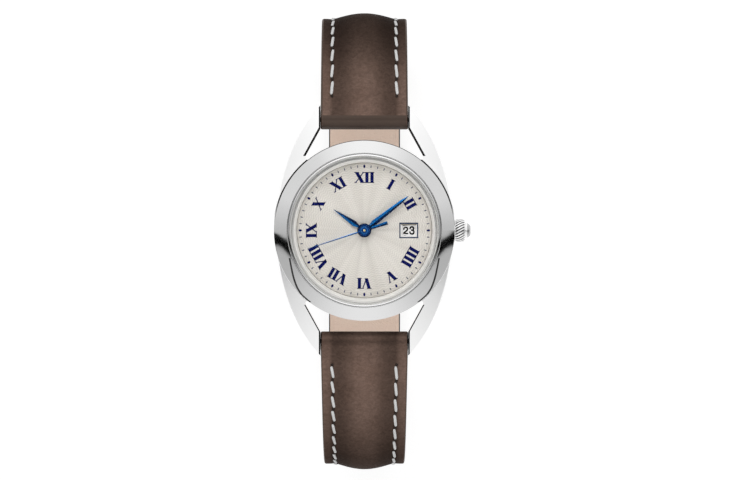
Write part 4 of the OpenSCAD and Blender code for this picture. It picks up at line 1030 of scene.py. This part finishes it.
def addRoll(shape, place, radius, x0, x1, sign, creased):
    rings = []
    for x, r in ((x0, radius - 0.25), (x0 + 0.08, radius - 0.08), (x0 + 0.25, radius), (x1 - 0.25, radius),
                 (x1 - 0.08, radius - 0.08), (x1, radius - 0.25)):
        ring = []
        for i in range(72):
            a = 2 * math.pi * i / 72
            # off is the angle from straight up towards the case
            off = math.degrees(a) if a < math.pi else math.degrees(a) - 360
            rr = r
            if creased:
                rr += 0.14 * math.exp(-((off - 36) / 16) ** 2) - 0.12 * math.exp(-((off - 3) / 8) ** 2)
            ring.append((x, sign * (place[0] - rr * math.sin(a)), place[1] + rr * math.cos(a)))
        rings.append(ring)
    return joinRings(rings, shape)


def makeStrapLeather(name, shape, body, node):
    # side faces of the leather take the edge paint
    indexes = []
    for face in shape[1]:
        xs = [abs(shape[0][i][0]) for i in face]
        indexes.append(int(len(face) == 4 and max(xs) - min(xs) < 0.12 and min(xs) > 5.5))
    piece = makePiece(name, shape, body, [taupeCalf, edgePaint], "strap_leather", [node], indexes)
    return piece


def makeStrapLining(name, rings, body, node, n=16):
    # painted shade on the rounded edges of the lining: the columns beside its two sides
    shape = joinRings(rings)
    count = len(shape[1])
    indexes = [int(k < count - 2 and k % n in (4, 5, 6, 8, 9, 10)) for k in range(count)]
    return makePiece(name, shape, body, [liningCalf, holeShade], "lining_leather", [node], indexes)


def makeHalf12(h, s):
    end = pathKnots(h)[3] + lowY(h) - s["buckleY"]
    fork = end - s["fork"]
    shape = joinRings([leatherRing(t, h) for t in steps(0, fork, s["ringStep"])])
    # two arms beside the tongue, each with a roll round the buckle's bar
    for side in (-1, 1):
        rings = []
        for t in steps(fork, end, 0.2):
            w = strapWidth(t, h)
            arm = [(w / 2, -0.1), (w / 2, 0.8), (w / 2 - 0.09, 1.01), (w / 2 - 0.3, 1.1), (1.1, 1.1), (1.0, 1.0),
                   (1.0, -0.1)]
            rings.append([onStrap(t, side * x, up, h) for x, up in arm])
        joinRings(rings, shape)
        addRoll(shape, (s["buckleY"], s["half"]), 1.1, min(side, side * 6), max(side, side * 6), 1, False)
    addRoll(shape, (s["barY"], s["barZ"]), s["roll"], -s["rollHalf"], s["rollHalf"], 1, True)
    makeStrapLeather("strapLeather12", shape, "strap_12", "strap_12_leather")
    makeStrapLining("strapLining12", [liningRing(t, h) for t in steps(s["liningStart"], fork, s["liningStep"])],
                    "strap_12", "strap_12_lining")
    return end


punchSettings = {"count": 7, "fromTip": 22, "pitch": 5.5, "radius": 0.75, "reach": 3}


def cutHoles(piece, end, h, s=punchSettings):
    # punched holes through the tail
    shape = [], []
    for i in range(s["count"]):
        y, z, e = linePoint(end - s["fromTip"] - s["pitch"] * i, h)
        rings = []
        for up in (-s["reach"], s["reach"]):
            ring = []
            for k in range(24):
                a = 2 * math.pi * k / 24
                along = s["radius"] * math.sin(a)
                ring.append((s["radius"] * math.cos(a), h["sign"] * (y + up * math.sin(e) + along * math.cos(e)),
                             z + up * math.cos(e) - along * math.sin(e)))
            rings.append(ring)
        joinRings(rings, shape)
    punch = bpy.data.objects.new("punch", outwardMesh("punch", shape))
    scene.collection.objects.link(punch)
    cut = piece.modifiers.new("holes", "BOOLEAN")
    cut.operation, cut.solver, cut.object = "DIFFERENCE", "EXACT", punch
    applyModifiers(piece)
    bpy.data.objects.remove(punch)


def makeHalf6(h, s):
    end = pathKnots(h)[3] + lowY(h) + s["tipY"]
    tipStart = end - s["tip"]
    tip = [end - s["tip"] * (1 - k) for k in (0.12, 0.25, 0.38, 0.5, 0.6, 0.7, 0.78, 0.85, 0.91, 0.96, 0.99)]
    shape = joinRings([leatherRing(t, h, end) for t in steps(0, tipStart, s["ringStep"]) + tip])
    cutHoles(makeStrapLeather("strapLeather6", shape, "strap_6", "strap_6_leather"), end, h)
    roll = addRoll(None, (s["barY"], s["barZ"]), s["roll"], -s["rollHalf"], s["rollHalf"], -1, True)
    makePiece("strapRoll6", roll, "strap_6", [taupeCalf], "strap_leather")
    rings = [liningRing(t, h, end) for t in steps(s["liningStart"], tipStart, s["liningStep"]) + tip]
    cutHoles(makeStrapLining("strapLining6", rings, "strap_6", "strap_6_lining"), end, h)
    return end


end12 = makeHalf12(half12, strap)
end6 = makeHalf6(half6, strap)
print("strap leather done")


# Stitches: one tree, one run for each row
def stitchTree():
    tree, given = newTree("stitchRow", Geometry="Geometry", Pitch="Float", Length="Float", Width="Float",
                          Height="Float", Hole="Float", Slant="Float", Thread="Material", Shade="Material")
    curve = addNode(tree, "GeometryNodeMeshToCurve", [given["Geometry"]])
    spots = addNode(tree, "GeometryNodeCurveToPoints", {"Curve": curve}, mode="LENGTH")
    feed(tree, spots, {"Length": given["Pitch"]})
    up = addNode(tree, "GeometryNodeInputNamedAttribute", data_type="FLOAT_VECTOR")
    up.inputs["Name"].default_value = "up"
    turn = addNode(tree, "FunctionNodeAxesToRotation", [up, spots.outputs["Tangent"]], primary_axis="Z",
                   secondary_axis="Y")
    size = addNode(tree, "CombineXYZ", [given["Width"], given["Length"], given["Height"]])
    block = addNode(tree, "GeometryNodeMeshCube", {"Size": size, "Vertices X": 2, "Vertices Y": 4, "Vertices Z": 2})
    bar = addNode(tree, "GeometryNodeSubdivisionSurface", {0: block, "Level": 1})
    lean = addNode(tree, "CombineXYZ", {2: given["Slant"]})
    strand = addNode(tree, "GeometryNodeTransform", {"Geometry": bar, "Rotation": lean})
    dyed = addNode(tree, "GeometryNodeSetMaterial", {0: strand, "Material": given["Thread"]})
    # a dark disc of painted shade for the hole between two stitches
    half = addNode(tree, "Math MULTIPLY", [given["Pitch"], -0.5])
    disc = addNode(tree, "GeometryNodeMeshCylinder", {"Vertices": 12, "Radius": given["Hole"], "Depth": 0.0001})
    ahead = addNode(tree, "CombineXYZ", {1: half})
    moved = addNode(tree, "GeometryNodeTransform", {"Geometry": disc, "Translation": ahead})
    shaded = addNode(tree, "GeometryNodeSetMaterial", {0: moved, "Material": given["Shade"]})
    both = addNode(tree, "GeometryNodeJoinGeometry")
    for part in (dyed, shaded):
        feed(tree, both, [part])
    placed = addNode(tree, "GeometryNodeInstanceOnPoints", {"Points": spots, "Instance": both, "Rotation": turn})
    real = addNode(tree, "GeometryNodeRealizeInstances", [placed])
    smooth = addNode(tree, "GeometryNodeSetShadeSmooth", [real])
    addNode(tree, "NodeGroupOutput", [smooth])
    return tree


stitchSettings = {"gap": 0.3, "width": 0.55, "height": 0.46, "hole": 0.25, "sunk": 0.04, "stop12": 4.6, "stop6": 2.6}


def makeStitches(name, h, side, last, body, tree, end, s=stitchSettings):
    # side is 0 for the left row and 1 for the right
    base = bpy.data.meshes.new(name + "Line")
    points, ups, pitch = [], [], h["pitches"][side]
    for t in steps(strap["firstHole"] + pitch / 2, last, 0.4):
        w = strapWidth(t, h, end)
        x = w / 2 - min(strap["stitchIn"], 0.3 * w)
        points.append(Vector(onStrap(t, x * (2 * side - 1), rootTop(t) - s["sunk"], h)) * mm)
        e = linePoint(t, h)[2]
        ups.append((0, h["sign"] * math.sin(e), math.cos(e)))
    base.from_pydata(points, [(i, i + 1) for i in range(len(points) - 1)], [])
    attribute = base.attributes.new("up", "FLOAT_VECTOR", "POINT")
    attribute.data.foreach_set("vector", [c for u in ups for c in u])
    row = runTree(name, tree, {"Pitch": pitch * mm, "Length": (pitch - s["gap"]) * mm, "Width": s["width"] * mm,
                               "Height": s["height"] * mm, "Hole": s["hole"] * mm,
                               "Slant": math.radians(h["slants"][side]), "Thread": thread, "Shade": holeShade}, base)
    finishPiece(row, body, "white_nylon")


thread = linenThread()
rowTree = stitchTree()
for side in (0, 1):
    makeStitches("stitches12" + "LR"[side], half12, side, end12 - stitchSettings["stop12"], "strap_12", rowTree, None)
    makeStitches("stitches6" + "LR"[side], half6, side, end6 - stitchSettings["stop6"], "strap_6", rowTree, end6)
print("stitches done")


# Keepers: flat leather loops round both layers of the strap at the bottom bend
keeperSettings = {"from": 32, "length": 4, "gapDegrees": 2, "inner": 18.75, "outer": 23.45, "half": 6.15,
                  "corner": 0.9}
# section of the leather: share of the length, and height above the inner side
keeperSection = ((0.0, 0.15), (0.0, 0.65), (0.035, 0.76), (0.1, 0.8), (0.9, 0.8), (0.965, 0.76), (1.0, 0.65),
                 (1.0, 0.15), (0.97, 0.04), (0.9, 0.0), (0.1, 0.0), (0.03, 0.04))


def makeKeeper(name, start, body, node, s=keeperSettings):
    c = s["corner"]
    rings = []
    for cx, cy, a0 in ((s["outer"] - c, s["half"] - c, 0), (s["inner"] + c, s["half"] - c, 90),
                       (s["inner"] + c, -s["half"] + c, 180), (s["outer"] - c, -s["half"] + c, 270)):
        for k in range(9):
            a = math.radians(a0 + 90 * k / 8)
            ring = []
            for part, off in keeperSection:
                rr, x = cx + math.cos(a) * (c + off), cy + math.sin(a) * (c + off)
                b = math.radians(start + keeperAngle * part)
                ring.append((x, lowY(half12) + rr * math.sin(b), strap["lowBend"] + strap["half"] - rr * math.cos(b)))
            rings.append(ring)
    makePiece(name, joinRings(rings, closed=True), body, [keeperCalf], "strap_leather", [node])


keeperAngle = math.degrees(keeperSettings["length"] / strap["lowBend"])
makeKeeper("fixedKeeperLeather", keeperSettings["from"], "strap_12", "fixed_keeper")
makeKeeper("looseKeeperLeather", keeperSettings["from"] + keeperAngle + keeperSettings["gapDegrees"], "keeper",
           "loose_keeper")
print("keepers done")
